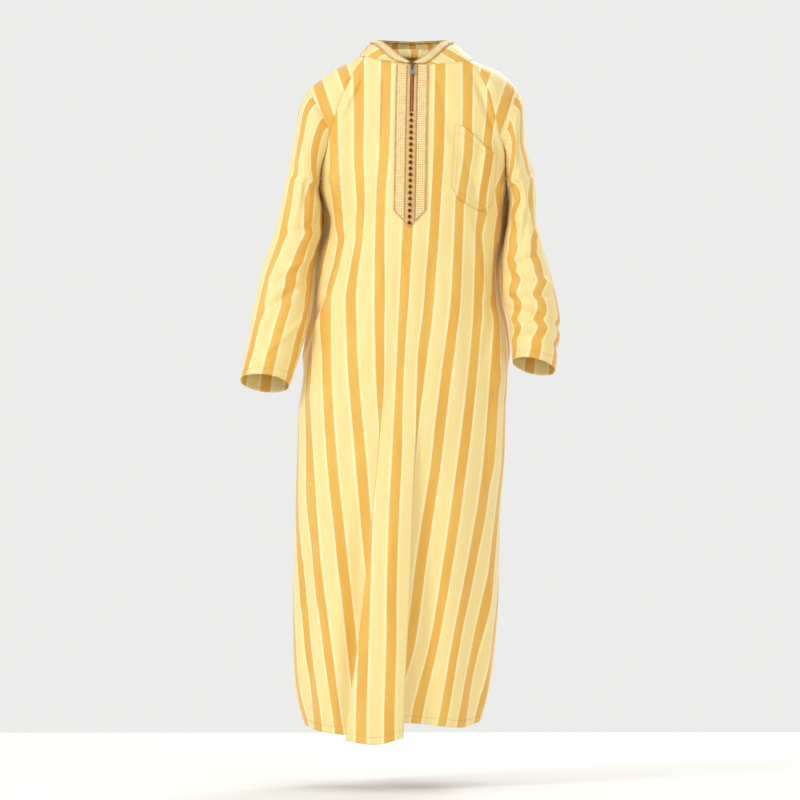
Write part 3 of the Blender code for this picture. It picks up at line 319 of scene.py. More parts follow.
# height, x of the orange stripes 7 to 0 left of the middle one
leftStripes = (
    (-1.417, -0.2637, -0.2266, -0.1854, -0.1442, -0.0989, -0.0515, -0.0082, 0.0391),
    (-1.325, -0.2554, -0.2348, -0.1978, -0.1580, -0.1112, -0.0618, -0.0144, 0.0350),
    (-1.201, -0.2616, -0.2318, -0.2153, -0.1745, -0.1236, -0.0700, -0.0206, 0.0309),
    (-1.036, -0.3049, -0.2596, -0.2235, -0.1971, -0.1415, -0.0865, -0.0350, 0.0185),
    (-0.830, -0.3296, -0.2802, -0.2390, -0.2091, -0.1648, -0.1038, -0.0494, 0.0041),
    (-0.727, -0.3420, -0.2966, -0.2513, -0.2132, -0.1720, -0.1133, -0.0597, -0.0041),
    (-0.624, -0.3543, -0.3090, -0.2596, -0.2157, -0.1761, -0.1220, -0.0643, -0.0237),
    (-0.501, -0.3090, -0.2719, -0.2328, -0.1957, -0.1741, -0.1257, -0.0649, -0.0169),
    (-0.439, -0.3461, -0.3008, -0.2451, -0.1957, -0.1566, -0.1195, -0.0659, -0.0134),
    (-0.377, -0.3626, -0.3090, -0.2513, -0.1978, -0.1452, -0.1092, -0.0670, -0.0097),
    (-0.295, -0.3708, -0.3131, -0.2575, -0.2039, -0.1539, -0.1040, -0.0659, -0.0052),
    (-0.192, -0.3914, -0.3317, -0.2719, -0.2142, -0.1607, -0.1092, -0.0577, -0.0004),
    (-0.089, -0.3996, -0.3399, -0.2802, -0.2225, -0.1648, -0.1086, -0.0538, 0.0010),
    (-0.019, -0.4038, -0.3461, -0.2884, -0.2307, -0.1689, -0.1092, -0.0525, 0.0019),
)
# height, x of the five stripes about the middle one
middleStripes = (
    (-1.417, -0.1607, -0.1040, -0.0464, 0.0082, 0.0597),
    (-1.325, -0.1586, -0.1030, -0.0453, 0.0093, 0.0618),
    (-1.201, -0.1524, -0.0989, -0.0422, 0.0113, 0.0639),
    (-1.036, -0.1463, -0.0931, -0.0402, 0.0124, 0.0639),
    (-0.830, -0.1380, -0.0855, -0.0315, 0.0206, 0.0700),
    (-0.727, -0.1298, -0.0721, -0.0278, 0.0165, 0.0618),
    (-0.624, -0.1220, -0.0643, -0.0237, 0.0196, 0.0731),
    (-0.501, -0.1257, -0.0649, -0.0169, 0.0346, 0.0896),
    (-0.439, -0.1195, -0.0659, -0.0134, 0.0391, 0.0927),
    (-0.377, -0.1092, -0.0670, -0.0097, 0.0443, 0.0954),
    (-0.295, -0.1040, -0.0659, -0.0052, 0.0494, 0.0979),
    (-0.192, -0.1092, -0.0577, -0.0004, 0.0536, 0.1129),
    (-0.089, -0.1086, -0.0538, 0.0010, 0.0567, 0.1143),
    (-0.019, -0.1092, -0.0525, 0.0019, 0.0577, 0.1143),
)
# height, x of the orange stripes 0 to 6 right of the middle one
rightStripes = (
    (-1.417, -0.1669, -0.1133, -0.0577, -0.0021, 0.0515, 0.0906, 0.1236),
    (-1.325, -0.1483, -0.0948, -0.0391, 0.0150, 0.0707, 0.1065, 0.1391),
    (-1.201, -0.1092, -0.0577, -0.0029, 0.0453, 0.0896, 0.1318, 0.1652),
    (-1.036, -0.0906, -0.0371, 0.0185, 0.0742, 0.1232, 0.1664, 0.1957),
    (-0.830, -0.0556, -0.0062, 0.0494, 0.1030, 0.1566, 0.1885, 0.2184),
    (-0.727, -0.0391, 0.0062, 0.0608, 0.1164, 0.1638, 0.1947, 0.2225),
    (-0.624, -0.0237, 0.0196, 0.0742, 0.1277, 0.1685, 0.1998, 0.2390),
    (-0.501, -0.0169, 0.0346, 0.0896, 0.1349, 0.1730, 0.2060, 0.2431),
    (-0.439, -0.0134, 0.0391, 0.0927, 0.1360, 0.1730, 0.2060, 0.2431),
    (-0.377, -0.0097, 0.0443, 0.0954, 0.1380, 0.1741, 0.2060, 0.2431),
    (-0.295, -0.0052, 0.0494, 0.0979, 0.1432, 0.1772, 0.2101, 0.2596),
    (-0.192, -0.0004, 0.0536, 0.1129, 0.1572, 0.1978, 0.2431, 0.2966),
    (-0.089, 0.0010, 0.0567, 0.1143, 0.1627, 0.2142, 0.2719, 0.3296),
    (-0.019, 0.0019, 0.0577, 0.1143, 0.1669, 0.2225, 0.2802, 0.3378),
)
stripeTables = {"left": leftStripes, "middle": middleStripes, "right": rightStripes}

clothWall = 0.0011
forward = Vector((0, -1, 0))
backward = Vector((0, 1, 0))
upward = Vector((0, 0, 1))
rightward = Vector((1, 0, 0))


def ease(value):
    value = min(1.0, max(0.0, value))
    return value * value * (3 - 2 * value)


def mix(low, high, share):
    return low + (high - low) * share


def spread(first, last, count):
    return [mix(first, last, at / count) for at in range(count + 1)]


def readRow(rows, key):  # all columns of a table at a key, on a smooth curve through its rows
    last = len(rows) - 1
    if key <= rows[0][0]:
        return rows[0][1:]
    if key >= rows[last][0]:
        return rows[last][1:]
    at = 0
    while rows[at + 1][0] < key:
        at += 1
    before = rows[max(at - 1, 0)]
    low = rows[at]
    high = rows[at + 1]
    after = rows[min(at + 2, last)]
    span = high[0] - low[0]
    t = (key - low[0]) / span
    values = []
    for column in range(1, len(low)):
        step = (high[column] - low[column]) / span
        slopeIn = step
        slopeOut = step
        if before is not low:
            left = (low[column] - before[column]) / (low[0] - before[0])
            slopeIn = 0.0 if left * step <= 0 else 2 * left * step / (left + step)
        if after is not high:
            right = (after[column] - high[column]) / (after[0] - high[0])
            slopeOut = 0.0 if right * step <= 0 else 2 * right * step / (right + step)
        values.append(
            low[column] * (2 * t ** 3 - 3 * t ** 2 + 1)
            + high[column] * (3 * t ** 2 - 2 * t ** 3)
            + slopeIn * span * (t ** 3 - 2 * t ** 2 + t)
            + slopeOut * span * (t ** 3 - t ** 2)
        )
    return tuple(values)


def straightRow(rows, key, column):  # one column of a table, on straight lines
    for low, high in zip(rows, rows[1:]):
        if key <= high[0]:
            return mix(low[column], high[column], max(0.0, (key - low[0]) / (high[0] - low[0])))
    return rows[-1][column]


def fadeEnds(along):  # a fold rises over its first quarter and sinks over its last
    return ease(along / 0.25) * ease((1 - along) / 0.25)


def foldRise(folds, x, z):
    total = 0.0
    for topX, topZ, endX, endZ, rise, leftWidth, rightWidth in folds:
        along = (topZ - z) / (topZ - endZ)
        if along <= 0 or along >= 1:
            continue
        off = x - mix(topX, endX, along)
        width = leftWidth if off < 0 else rightWidth
        if abs(off) <= 3 * width:
            total += rise * fadeEnds(along) * math.exp(-(off / width) ** 2)
    return total


fluteForm = {"wall": 0.005, "edge": 0.003, "tuck": 0.308, "swell": 0.30}


def fluteAt(z):  # left wall, left edge, right edge, right wall and rise of the middle flute
    left, right, rise = readRow(fluteRows, z)
    wall = fluteForm["wall"] - fluteForm["tuck"] * rise
    edge = fluteForm["edge"]
    return left - wall, left + edge, right - edge, right + wall, rise


def fluteShare(across):  # share of the flute's rise: its walls are between 1 and 2 and between 3 and 4
    if 2 <= across <= 3:
        return 1.0 + fluteForm["swell"] * math.sin(math.pi * (across - 2))
    return ease(across - 1) * ease(4 - across)


# how square the skirt is, the rise of fine creases against their rows, and where the back is fuller
trunkForm = {
    "square": 0.86, "squareFrom": -0.45, "squareOver": 0.5, "creases": 1.45, "sideFade": 0.35,
    "fullAt": 0.24, "fullWide": 0.13,
}


def turnOf(x, z):  # turn around the trunk, 0 at the left side seam
    left, right = readRow(trunkRows, z)[:2]
    share = ((left + right) / 2 - x) / ((right - left) / 2)
    return math.acos(min(1.0, max(-1.0, share)))


def trunkPoint(turn, z, side, lift=0.0, flute=0.0):  # side -1 is the front, 1 the back
    left, right, front, back = readRow(trunkRows, z)
    form = trunkForm
    half = (right - left) / 2
    depth = front if side < 0 else back
    square = mix(1.0, form["square"], ease((form["squareFrom"] - z) / form["squareOver"]))
    sine = math.sin(turn)
    x = (left + right) / 2 - half * math.cos(turn)
    outward = Vector((-math.cos(turn) / half, side * sine / depth, 0)).normalized()
    folds, creases = (frontFolds, frontCreases) if side < 0 else (backFolds, backCreases)
    rise = foldRise(folds, x, z) + form["creases"] * foldRise(creases, x, z)
    point = Vector((x, side * depth * sine ** square, z))
    point += outward * (rise * ease(sine / form["sideFade"]) + lift)
    point.y += side * flute
    if side > 0 and sideFullness[0][0] < z < sideFullness[-1][0]:
        full = readRow(sideFullness, z)[0 if turn < math.pi / 2 else 1]
        fade = math.exp(-((sine - form["fullAt"]) / form["fullWide"]) ** 2)
        point.x -= math.copysign(full, math.cos(turn)) * fade
    return point


# the armpit's row, levels midway between the slanted seams, and the cloth tucked in at a seam
seamForm = {
    "armpit": 7, "armpitLevel": -0.268, "neckFront": -0.0185, "neckBack": 0.006, "backRise": 0.008,
    "reach": 0.0042, "inset": 0.0018, "sink": 0.0005,
}


def seamEnds(row, higher=0.0):  # x and height of both slanted seams at a row
    leftX, leftZ = readRow(raglanRows["left"], row)
    rightX, rightZ = readRow(raglanRows["right"], row)
    return leftX, leftZ + higher, rightX, rightZ + higher


def seamLevel(leftZ, rightZ, middleZ, share):  # a level curve between two seams through a height midway
    return mix(leftZ, rightZ, share) + (middleZ - (leftZ + rightZ) / 2) * 4 * share * (1 - share)


def backHigher(row):  # the back panel's seams start above the front panel's
    return seamForm["backRise"] * (1 - row / seamForm["armpit"])


raglanKept = {}


def raglanPoint(name, row, side):  # a place on the slanted shoulder seam
    key = (name, round(row, 5), side)
    if key not in raglanKept:
        x, z = readRow(raglanRows[name], row)
        if side > 0:
            z += backHigher(row)
        raglanKept[key] = trunkPoint(turnOf(x, z), z, side)
    return raglanKept[key]


# rows are counted from the neck to the cuff, turns from the front edge over the top to the back edge
armForm = {
    "around": 96, "shoulder": 30, "sleeve": 150, "creases": {"left": 1.3, "right": 1.35},
    "seamRow": 4, "cuffRow": 16, "hemFrom": 15.2, "rowLength": 0.04, "openTo": 6.8, "tuckTo": 6.95,
    "stripeRun": 0.951, "stripeLean": 0.308, "stripeStart": {"left": -0.1444, "right": 0.2116},
    "lozengeStart": 0.16, "lozengePitch": 0.40, "lozengeMiddle": 0.26, "lozengeWide": 0.20,
}


def sleeveFoldRise(name, row, turn):
    total = 0.0
    folds = [(*fold, 1.0) for fold in sleeveFolds[name]]
    folds += [(*crease, armForm["creases"][name]) for crease in sleeveCreases[name]]
    for firstRow, firstTurn, lastRow, lastTurn, rise, rowWidth, turnWidth, depth in folds:
        if rowWidth > 2:
            along = (row - firstRow) / (lastRow - firstRow)
            off = (turn - mix(firstTurn, lastTurn, along)) / turnWidth
        else:
            along = (turn - firstTurn) / (lastTurn - firstTurn)
            off = (row - mix(firstRow, lastRow, along)) / rowWidth
        if 0 < along < 1:
            total += rise * depth * fadeEnds(along) * math.exp(-off ** 2)
    return total


def sleevePoint(name, row, turn):
    outX, outZ, inX, inZ, half, reach, lift = readRow(sleeveRows[name], row)
    if row < seamForm["armpit"]:
        front = raglanPoint(name, row, -1)
        back = raglanPoint(name, row, 1)
        middle = (front + back) / 2
        reachOut = (back - front) / 2
        half = max(half, reachOut.y * 1.0005)
        start = math.asin(min(1.0, reachOut.y / half))
        tilt = reachOut / max(reachOut.y, 1e-6)
    else:
        middle = Vector((inX, -reach, inZ))
        start = 0.0
        tilt = backward
    top = Vector((outX, middle.y, outZ))
    arm = (top - middle) / (1 + math.cos(start))
    centre = top - arm
    angle = mix(start, 2 * math.pi - start, turn)
    point = centre - arm * math.cos(angle) - tilt * half * math.sin(angle)
    point.z += lift * math.sin(angle)
    fold = sleeveFoldRise(name, row, turn)
    if fold:
        point += (point - centre).normalized() * fold
    return point


def squareTo(grid, outside, probe):  # directions square to a grid of points, on the outer side
    rows = len(grid)
    columns = len(grid[0])
    normals = []
    for r in range(rows):
        line = []
        for c in range(columns):
            across = grid[r][min(c + 1, columns - 1)] - grid[r][max(c - 1, 0)]
            down = grid[min(r + 1, rows - 1)][c] - grid[max(r - 1, 0)][c]
            line.append(across.cross(down).normalized())
        normals.append(line)
    if normals[probe[0]][probe[1]].dot(outside) < 0:
        normals = [[-normal for normal in line] for line in normals]
    return normals


def finishMesh(mesh, name, smooth=True):
    data = bpy.data.meshes.new(name)
    mesh.normal_update()
    for face in mesh.faces:
        face.smooth = smooth
    mesh.to_mesh(data)
    mesh.free()
    piece = bpy.data.objects.new(name, data)
    bpy.context.scene.collection.objects.link(piece)
    return piece


def makeSheet(name, grid, cloth, wall, outside, probe=None, close=False):
    # a cloth piece: a flat grid of faces laid on the points of its form, with its cut as UV
    rows = len(grid)
    columns = len(grid[0])
    mesh = bmesh.new()
    bmesh.ops.create_grid(mesh, x_segments=columns - 1, y_segments=rows - 1, size=1)
    layer = mesh.loops.layers.uv.new("cut")
    places = {}
    for corner in mesh.verts:
        c = round((corner.co.x + 1) / 2 * (columns - 1))
        r = round((1 - corner.co.y) / 2 * (rows - 1))
        corner.co = grid[r][c]
        places[corner] = (r, c)
    for face in mesh.faces:
        for loop in face.loops:
            r, c = places[loop.vert]
            loop[layer].uv = cloth[r][c]
    probe = probe or (rows // 2, columns // 2)
    spot = grid[probe[0]][probe[1]]
    near = min(mesh.faces, key=lambda face: (face.calc_center_median() - spot).length)
    near.normal_update()
    if near.normal.dot(outside) < 0:
        bmesh.ops.reverse_faces(mesh, faces=mesh.faces)
    if close:
        bmesh.ops.remove_doubles(mesh, verts=mesh.verts, dist=1e-6)
    piece = finishMesh(mesh, name)
    thick = piece.modifiers.new("Wall", "SOLIDIFY")
    thick.thickness = wall
    thick.offset = -1
    return piece


def sinkEdges(grid, normals, ends):  # seams lie a little deeper than the cloth
    rows = len(grid)
    columns = len(grid[0])
    for r in range(rows):
        for c in range(columns):
            steps = {"top": r, "foot": rows - 1 - r, "first": c, "last": columns - 1 - c}
            near = min(steps[end] for end in ends)
            if near < 2:
                grid[r][c] = grid[r][c] - normals[r][c] * seamForm["sink"] * (1.0 - 0.6 * near)


def tuckSides(grid, cloth, normals, shares):  # seam allowance behind the next piece at both sides
    for r, line in enumerate(grid):
        reach = seamForm["reach"] * shares[r]
        inset = seamForm["inset"] * shares[r]
        first = line[0] + (line[0] - line[1]).normalized() * reach - normals[r][0] * inset
        last = line[-1] + (line[-1] - line[-2]).normalized() * reach - normals[r][-1] * inset
        grid[r] = [first, *line, last]
        cut = cloth[r]
        cloth[r] = [(cut[0][0] - reach, cut[0][1]), *cut, (cut[-1][0] + reach, cut[-1][1])]


hemForm = {"width": 0.014, "double": 0.0006, "edge": 0.003, "over": 0.002, "dip": 0.0007, "dipWide": 0.0016}


def hemLift(distance):  # the doubled cloth of a hem and the dip of its stitching
    width = hemForm["width"]
    if distance > width + 2 * hemForm["edge"]:
        return 0.0
    double = hemForm["double"] * ease((width + hemForm["over"] - distance) / hemForm["edge"])
    return double - hemForm["dip"] * math.exp(-((distance - width) / hemForm["dipWide"]) ** 2)


stripeForm = {
    "period": 0.0571, "margin": 0.005, "fade": 0.030, "first": {"left": -7, "middle": -2, "right": 0},
}


def stripeNumber(x, z, turn, zone):  # how many stripes a place of the front is from the middle one
    left, right, front = readRow(trunkRows, z)[:3]
    half = (right - left) / 2
    margin = stripeForm["margin"]
    known = []
    for at, place in enumerate(readRow(stripeTables[zone], z)):
        if left + margin < place < right - margin:
            known.append((place, stripeForm["first"][zone] + at))

    def along(at):  # by the length of cloth from one stripe
        place, number = known[at]
        begin = turnOf(place, z)
        arc = 0.0
        for step in range(8):
            angle = mix(begin, turn, (step + 0.5) / 8)
            arc += math.hypot(half * math.sin(angle), front * math.cos(angle)) * (turn - begin) / 8
        return number + arc / stripeForm["period"]

    if known[0][0] < x < known[-1][0]:
        at = 0
        while known[at + 1][0] < x:
            at += 1
        (low, first), (high, second) = known[at:at + 2]
        value = mix(first, second, (x - low) / (high - low))
    else:
        value = along(0 if x <= known[0][0] else -1)
    if x < known[1][0]:  # the outermost stripe takes over little by little
        value = mix(along(1), value, ease((known[0][0] - left - margin) / stripeForm["fade"]))
    elif x > known[-2][0]:
        value = mix(along(-2), value, ease((right - margin - known[-1][0]) / stripeForm["fade"]))
    return value


def panelRows(form):  # rows of a panel: down the slanted seams, down the sides, and finer at the hem
    armpit = seamForm["armpit"]
    hemFrom = form["hemFrom"]
    rows = [(row, None) for row in spread(0, armpit, form["upper"])]
    rows += [(armpit, hemFrom * (at + 1) / form["lower"]) for at in range(form["lower"])]
    rows += [(armpit, mix(hemFrom, 1, (at + 1) / form["hem"])) for at in range(form["hem"])]
    return rows


def panelLift(form, lower):
    return 0.0 if lower is None else hemLift((1 - lower) * form["drop"])


slitForm = {"foot": -0.740, "top": -0.625, "middle": -0.683, "reach": 0.045, "open": 0.0034}
# cells across each zone and down, where the finer hem rows begin, length of the side below the armpit
frontForm = {
    "across": {"left": 36, "leftWall": 9, "flute": 28, "rightWall": 9, "right": 34},
    "upper": 58, "lower": 172, "hem": 12, "hemFrom": 0.978, "drop": 1.12,
    "bucklesFrom": 0.125, "bucklesOver": 0.025,
}
# height, sideways run of the stripes over the low creases beside the pocket
chestBuckles = (
    (-0.420, 0.000), (-0.370, 0.005), (-0.325, -0.007), (-0.275, 0.010), (-0.225, -0.010),
    (-0.180, 0.006), (-0.130, 0.000),
)


def frontPlace(across, row, lower):  # turn, height and flute rise of a place on the front panel
    leftX, leftZ, rightX, rightZ = seamEnds(row)
    atSide = row >= seamForm["armpit"]
    leftTurn = 0.0 if atSide else turnOf(leftX, leftZ)
    rightTurn = math.pi if atSide else turnOf(rightX, rightZ)
    level = mix(leftZ, rightZ, across / 5)
    if lower is not None:
        level = mix(level, readRow(frontHemRows, across)[0], lower)
    *marks, rise = fluteAt(level)
    turns = [leftTurn, *[turnOf(x, level) for x in marks], rightTurn]
    at = min(4, int(across))
    turn = mix(turns[at], turns[at + 1], across - at)
    if lower is None:
        share = (math.cos(leftTurn) - math.cos(turn)) / (math.cos(leftTurn) - math.cos(rightTurn))
        middle = mix(seamForm["neckFront"], seamForm["armpitLevel"], row / seamForm["armpit"])
        level = seamLevel(leftZ, rightZ, middle, share)
    return turn, level, rise * fluteShare(across)


def frontStripe(across, x, z, turn):  # the tables of both sides meet the middle one in the flute's walls
    middle = stripeNumber(x, z, turn, "middle") if 1 < across < 4 else 0.0
    if 2 <= across <= 3:
        return middle
    side = stripeNumber(x, z, turn, "left" if across < 2 else "right")
    return mix(side, middle, ease(across - 1) * ease(4 - across))


def frontSheet():
    form = frontForm
    acrossList = [0.0]
    for zone, cells in enumerate(form["across"].values()):
        acrossList += [zone + (at + 1) / cells for at in range(cells)]
    grid = []
    cloth = []
    for row, lower in panelRows(form):
        line = []
        cut = []
        for across in acrossList:
            turn, z, flute = frontPlace(across, row, lower)
            point = trunkPoint(turn, z, -1, panelLift(form, lower), flute)
            line.append(point)
            u = frontStripe(across, point.x, z, turn) * stripeForm["period"]
            buckled = ease((point.x - form["bucklesFrom"]) / form["bucklesOver"])
            cut.append((u + straightRow(chestBuckles, z, 1) * buckled, -z))
        grid.append(line)
        cloth.append(cut)
    normals = squareTo(grid, forward, (60, len(acrossList) // 2))
    sinkEdges(grid, normals, ("first", "last"))
    shares = []
    for r, line in enumerate(grid):  # the hand slits stay open
        slit = slitForm["foot"] < line[0].z < slitForm["top"]
        shares.append(0.0 if slit else ease((r - form["upper"]) / 6))
    tuckSides(grid, cloth, normals, shares)
    return grid, cloth


def makeTree(grid):
    width = len(grid[0])
    cells = []
    for r in range(len(grid) - 1):
        for c in range(width - 1):
            first = r * width + c
            cells.append((first, first + 1, first + width + 1, first + width))
    return BVHTree.FromPolygons([point for line in grid for point in line], cells)


frontGrid, frontCut = frontSheet()
frontPiece = makeSheet("frontCloth", frontGrid, frontCut, clothWall, forward, None, True)
frontTree = makeTree(frontGrid)
print("front panel made")

backForm = {
    "across": 112, "upper": 52, "lower": 160, "hem": 12, "hemFrom": 0.978, "drop": 1.1,
    "hemLeft": -1.372, "hemRight": -1.360, "hemSag": 0.006, "stripeLean": 0.030,
}


def backPlace(across, row, lower):  # turn and height of a place on the back panel
    leftX, leftZ, rightX, rightZ = seamEnds(row, backHigher(row))
    middle = mix(seamForm["neckBack"], seamForm["armpitLevel"], row / seamForm["armpit"])
    z = seamLevel(leftZ, rightZ, middle, across)
    if lower is not None:
        hem = mix(backForm["hemLeft"], backForm["hemRight"], across)
        z = mix(z, hem - backForm["hemSag"] * math.sin(math.pi * across), lower)
    if row >= seamForm["armpit"]:
        return math.pi * across, z
    return mix(turnOf(leftX, leftZ), turnOf(rightX, rightZ), across), z


def arcCut(grid, middle, shift):  # cut places by the length of cloth from a middle column
    cloth = []
    for r, line in enumerate(grid):
        lengths = [0.0]
        for c in range(1, len(line)):
            lengths.append(lengths[-1] + (line[c] - line[c - 1]).length)
        off = shift(r) - lengths[middle]
        cloth.append([(length + off, -line[middle].z) for length in lengths])
    return cloth


def backSheet():
    form = backForm
    half = form["across"] // 2
    grid = []
    for row, lower in panelRows(form):
        places = [backPlace(across, row, lower) for across in spread(0, 1, form["across"])]
        grid.append([trunkPoint(turn, z, 1, panelLift(form, lower)) for turn, z in places])
    cloth = arcCut(grid, half, lambda r: grid[r][half].x + form["stripeLean"] * grid[r][half].z)
    for line in grid:  # the two slits at hip height stand a little open
        for c, share in ((0, 1), (1, 0.4), (-1, 1), (-2, 0.4)):
            gap = math.exp(-((line[c].z - slitForm["middle"]) / slitForm["reach"]) ** 4)
            line[c].y += slitForm["open"] * gap * share
    normals = squareTo(grid, backward, (60, half))
    sinkEdges(grid, normals, ("first", "last"))
    return grid, cloth


backGrid, backCut = backSheet()
backPiece = makeSheet("backCloth", backGrid, backCut, clothWall, backward)
print("back panel made")

sleeveShift = ((4, 0.0), (9, 0.0), (12, -0.012), (16, -0.026))
# row, sideways run of the stripes over the lozenge-shaped buckles of the left and the right sleeve
buckles = (
    (4.0, 0.000, 0.000), (4.8, 0.002, 0.009), (5.8, -0.002, -0.009), (6.9, 0.002, 0.011),
    (8.0, -0.002, -0.010), (9.1, 0.002, 0.009), (10.2, -0.001, -0.005), (11.4, 0.002, 0.002),
    (12.6, -0.001, -0.002), (14.0, 0.000, 0.000), (16.0, 0.000, 0.000),
)


def shoulderSheet(side, sign, away):
    form = armForm
    rows = spread(0, form["seamRow"], form["shoulder"])
    turns = spread(0, 1, form["around"])
    grid = [[sleevePoint(side, row, turn) for turn in turns] for row in rows]
    lean = Vector((form["stripeRun"], 0, -form["stripeLean"] * sign))
    start = form["stripeStart"][side]
    cloth = [[(lean.dot(point) - start, -point.z) for point in line] for line in grid]
    normals = squareTo(grid, away, (15, form["around"] // 2))
    sinkEdges(grid, normals, ("foot", "first", "last"))
    tuckSides(grid, cloth, normals, [1.0] * len(grid))
    line = []  # one more row goes behind the sleeve
    for high, low, normal in zip(grid[-2], grid[-1], [normals[-1][0], *normals[-1], normals[-1][-1]]):
        line.append(low + (low - high).normalized() * seamForm["reach"] - normal * seamForm["inset"])
    grid.append(line)
    cloth.append(cloth[-1])
    return grid, cloth


def sleeveSheet(side, sign, away):
    form = armForm
    middle = form["around"] // 2
    rows = spread(form["seamRow"], form["cuffRow"], form["sleeve"])
    turns = spread(0, 1, form["around"])
    grid = [[sleevePoint(side, row, turn) for turn in turns] for row in rows]
    cloth = arcCut(grid, middle, lambda r: readRow(sleeveShift, rows[r])[0] * (-sign))
    for r, line in enumerate(cloth):
        run = straightRow(buckles, rows[r], 1 if sign < 0 else 2)
        for c, turn in enumerate(turns):
            lozenge = math.cos(2 * math.pi * (turn - form["lozengeStart"]) / form["lozengePitch"])
            fade = math.exp(-((turn - form["lozengeMiddle"]) / form["lozengeWide"]) ** 2)
            line[c] = (line[c][0] + run * lozenge * fade, line[c][1])
    normals = squareTo(grid, away, (60, middle))
    for r, row in enumerate(rows):
        if row > form["hemFrom"]:
            lift = hemLift((form["cuffRow"] - row) * form["rowLength"])
            grid[r] = [point + normal * lift for point, normal in zip(grid[r], normals[r])]
    sinkEdges(grid, normals, ("top",))
    for r, row in enumerate(rows):
        if row < form["openTo"]:
            for c in (0, -1):
                grid[r][c] = grid[r][c] - normals[r][c] * seamForm["sink"]
    tuckSides(grid, cloth, normals, [ease((form["tuckTo"] - row) / 0.4) for row in rows])
    return grid, cloth


armPieces = {}
armGrids = {}
for side, sign in (("left", -1), ("right", 1)):
    away = Vector((sign * 0.3, 0, 1))
    grid, cloth = shoulderSheet(side, sign, away)
    armPieces["shoulder_" + side] = makeSheet("shoulderCloth_" + side, grid, cloth, clothWall, away)
    armGrids["shoulder_" + side] = grid
    away = Vector((sign, 0, 0))
    grid, cloth = sleeveSheet(side, sign, away)
    name = "sleeveCloth_" + side
    probe = (60, armForm["around"] // 2)
    armPieces["sleeve_" + side] = makeSheet(name, grid, cloth, clothWall, away, probe, True)
    armGrids["sleeve_" + side] = grid
print("shoulders and sleeves made")

# where the neck seam passes from front to shoulder to back, and the seam allowance inside the neck
neckForm = {
    "front": 0.30, "back": 0.62, "gap": 0.0165, "inset": 0.0005, "lift": 0.0008,
    "allowanceIn": 0.0016, "allowanceDown": 0.0055,
}
hoodForm = {
    "along": 44, "around": 54, "trim": 0.0195, "trimGap": 0.0012, "trimWall": 0.0010, "trimRows": 8,
    "trimMost": 0.86, "widenFall": 0.1, "layFall": 0.05,
}


def neckPoint(side, place):  # a place on the neck seam, from the front to the back
    sign = -1 if side == "left" else 1
    if place < neckForm["front"]:
        leftX, leftZ, rightX, rightZ = seamEnds(0)
        x = mix(sign * neckForm["gap"], leftX if sign < 0 else rightX, place / neckForm["front"])
        z = seamLevel(leftZ, rightZ, seamForm["neckFront"], (x - leftX) / (rightX - leftX))
        point = trunkPoint(turnOf(x, z), z, -1)
    elif place <= neckForm["back"]:
        point = sleevePoint(side, 0, (place - neckForm["front"]) / (neckForm["back"] - neckForm["front"]))
    else:
        across = 0.5 * (place - neckForm["back"]) / (1 - neckForm["back"])
        turn, z = backPlace(across if sign < 0 else 1 - across, 0, None)
        point = trunkPoint(turn, z, 1)
    inward = Vector((-point.x, -point.y, 0)).normalized()
    return point + inward * neckForm["inset"] + upward * neckForm["lift"]


def hoodKnot(side, place, layer):  # a guide point of the hood between neck seam and free edge
    sign = -1 if side == "left" else 1
    edgeX, edgeY, edgeZ, fall, bulge = readRow(hoodRows, place)
    along, down, swell, clear, widen, rise = layer
    base = neckPoint(side, place)
    edge = Vector((sign * edgeX, edgeY, edgeZ))
    point = base.lerp(edge, along)
    point += Vector((base.x, base.y, 0)).normalized() * bulge * swell
    share = min(1.0, fall / hoodForm["widenFall"])
    point.x *= 1 + widen * share
    point.z += rise * share - down * fall
    if fall > 0 and point.y > 0 and 0 < along < 1:
        level = min(point.z, 0.0)
        surface = trunkPoint(turnOf(point.x, level), level, 1).y + clear
        point.y = mix(point.y, max(point.y, surface), min(1.0, fall / hoodForm["layFall"]))
    return point


def alongCurve(points, targets):  # places at shares of the length of a smooth line through points
    fine = []
    for at in range(len(points) - 1):
        before = points[max(at - 1, 0)]
        low = points[at]
        high = points[at + 1]
        after = points[min(at + 2, len(points) - 1)]
        for step in range(16):
            t = step / 16
            fine.append(
                0.5 * (
                    2 * low + (high - before) * t
                    + (2 * before - 5 * low + 4 * high - after) * t * t
                    + (3 * low - before - 3 * high + after) * t ** 3
                )
            )
    fine.append(points[-1])
    length = [0.0]
    for at in range(1, len(fine)):
        length.append(length[-1] + (fine[at] - fine[at - 1]).length)
    places = []
    at = 0
    for target in targets(length[-1]):
        while at < len(length) - 2 and length[at + 1] < target:
            at += 1
        share = (target - length[at]) / max(length[at + 1] - length[at], 1e-9)
        places.append(fine[at].lerp(fine[at + 1], share))
    return places


def hoodTargets(total):
    trim = min(hoodForm["trim"], total * hoodForm["trimMost"])
    rows = spread(0, total - trim, hoodForm["along"])
    return rows + spread(total - trim, total, hoodForm["trimRows"])[1:]


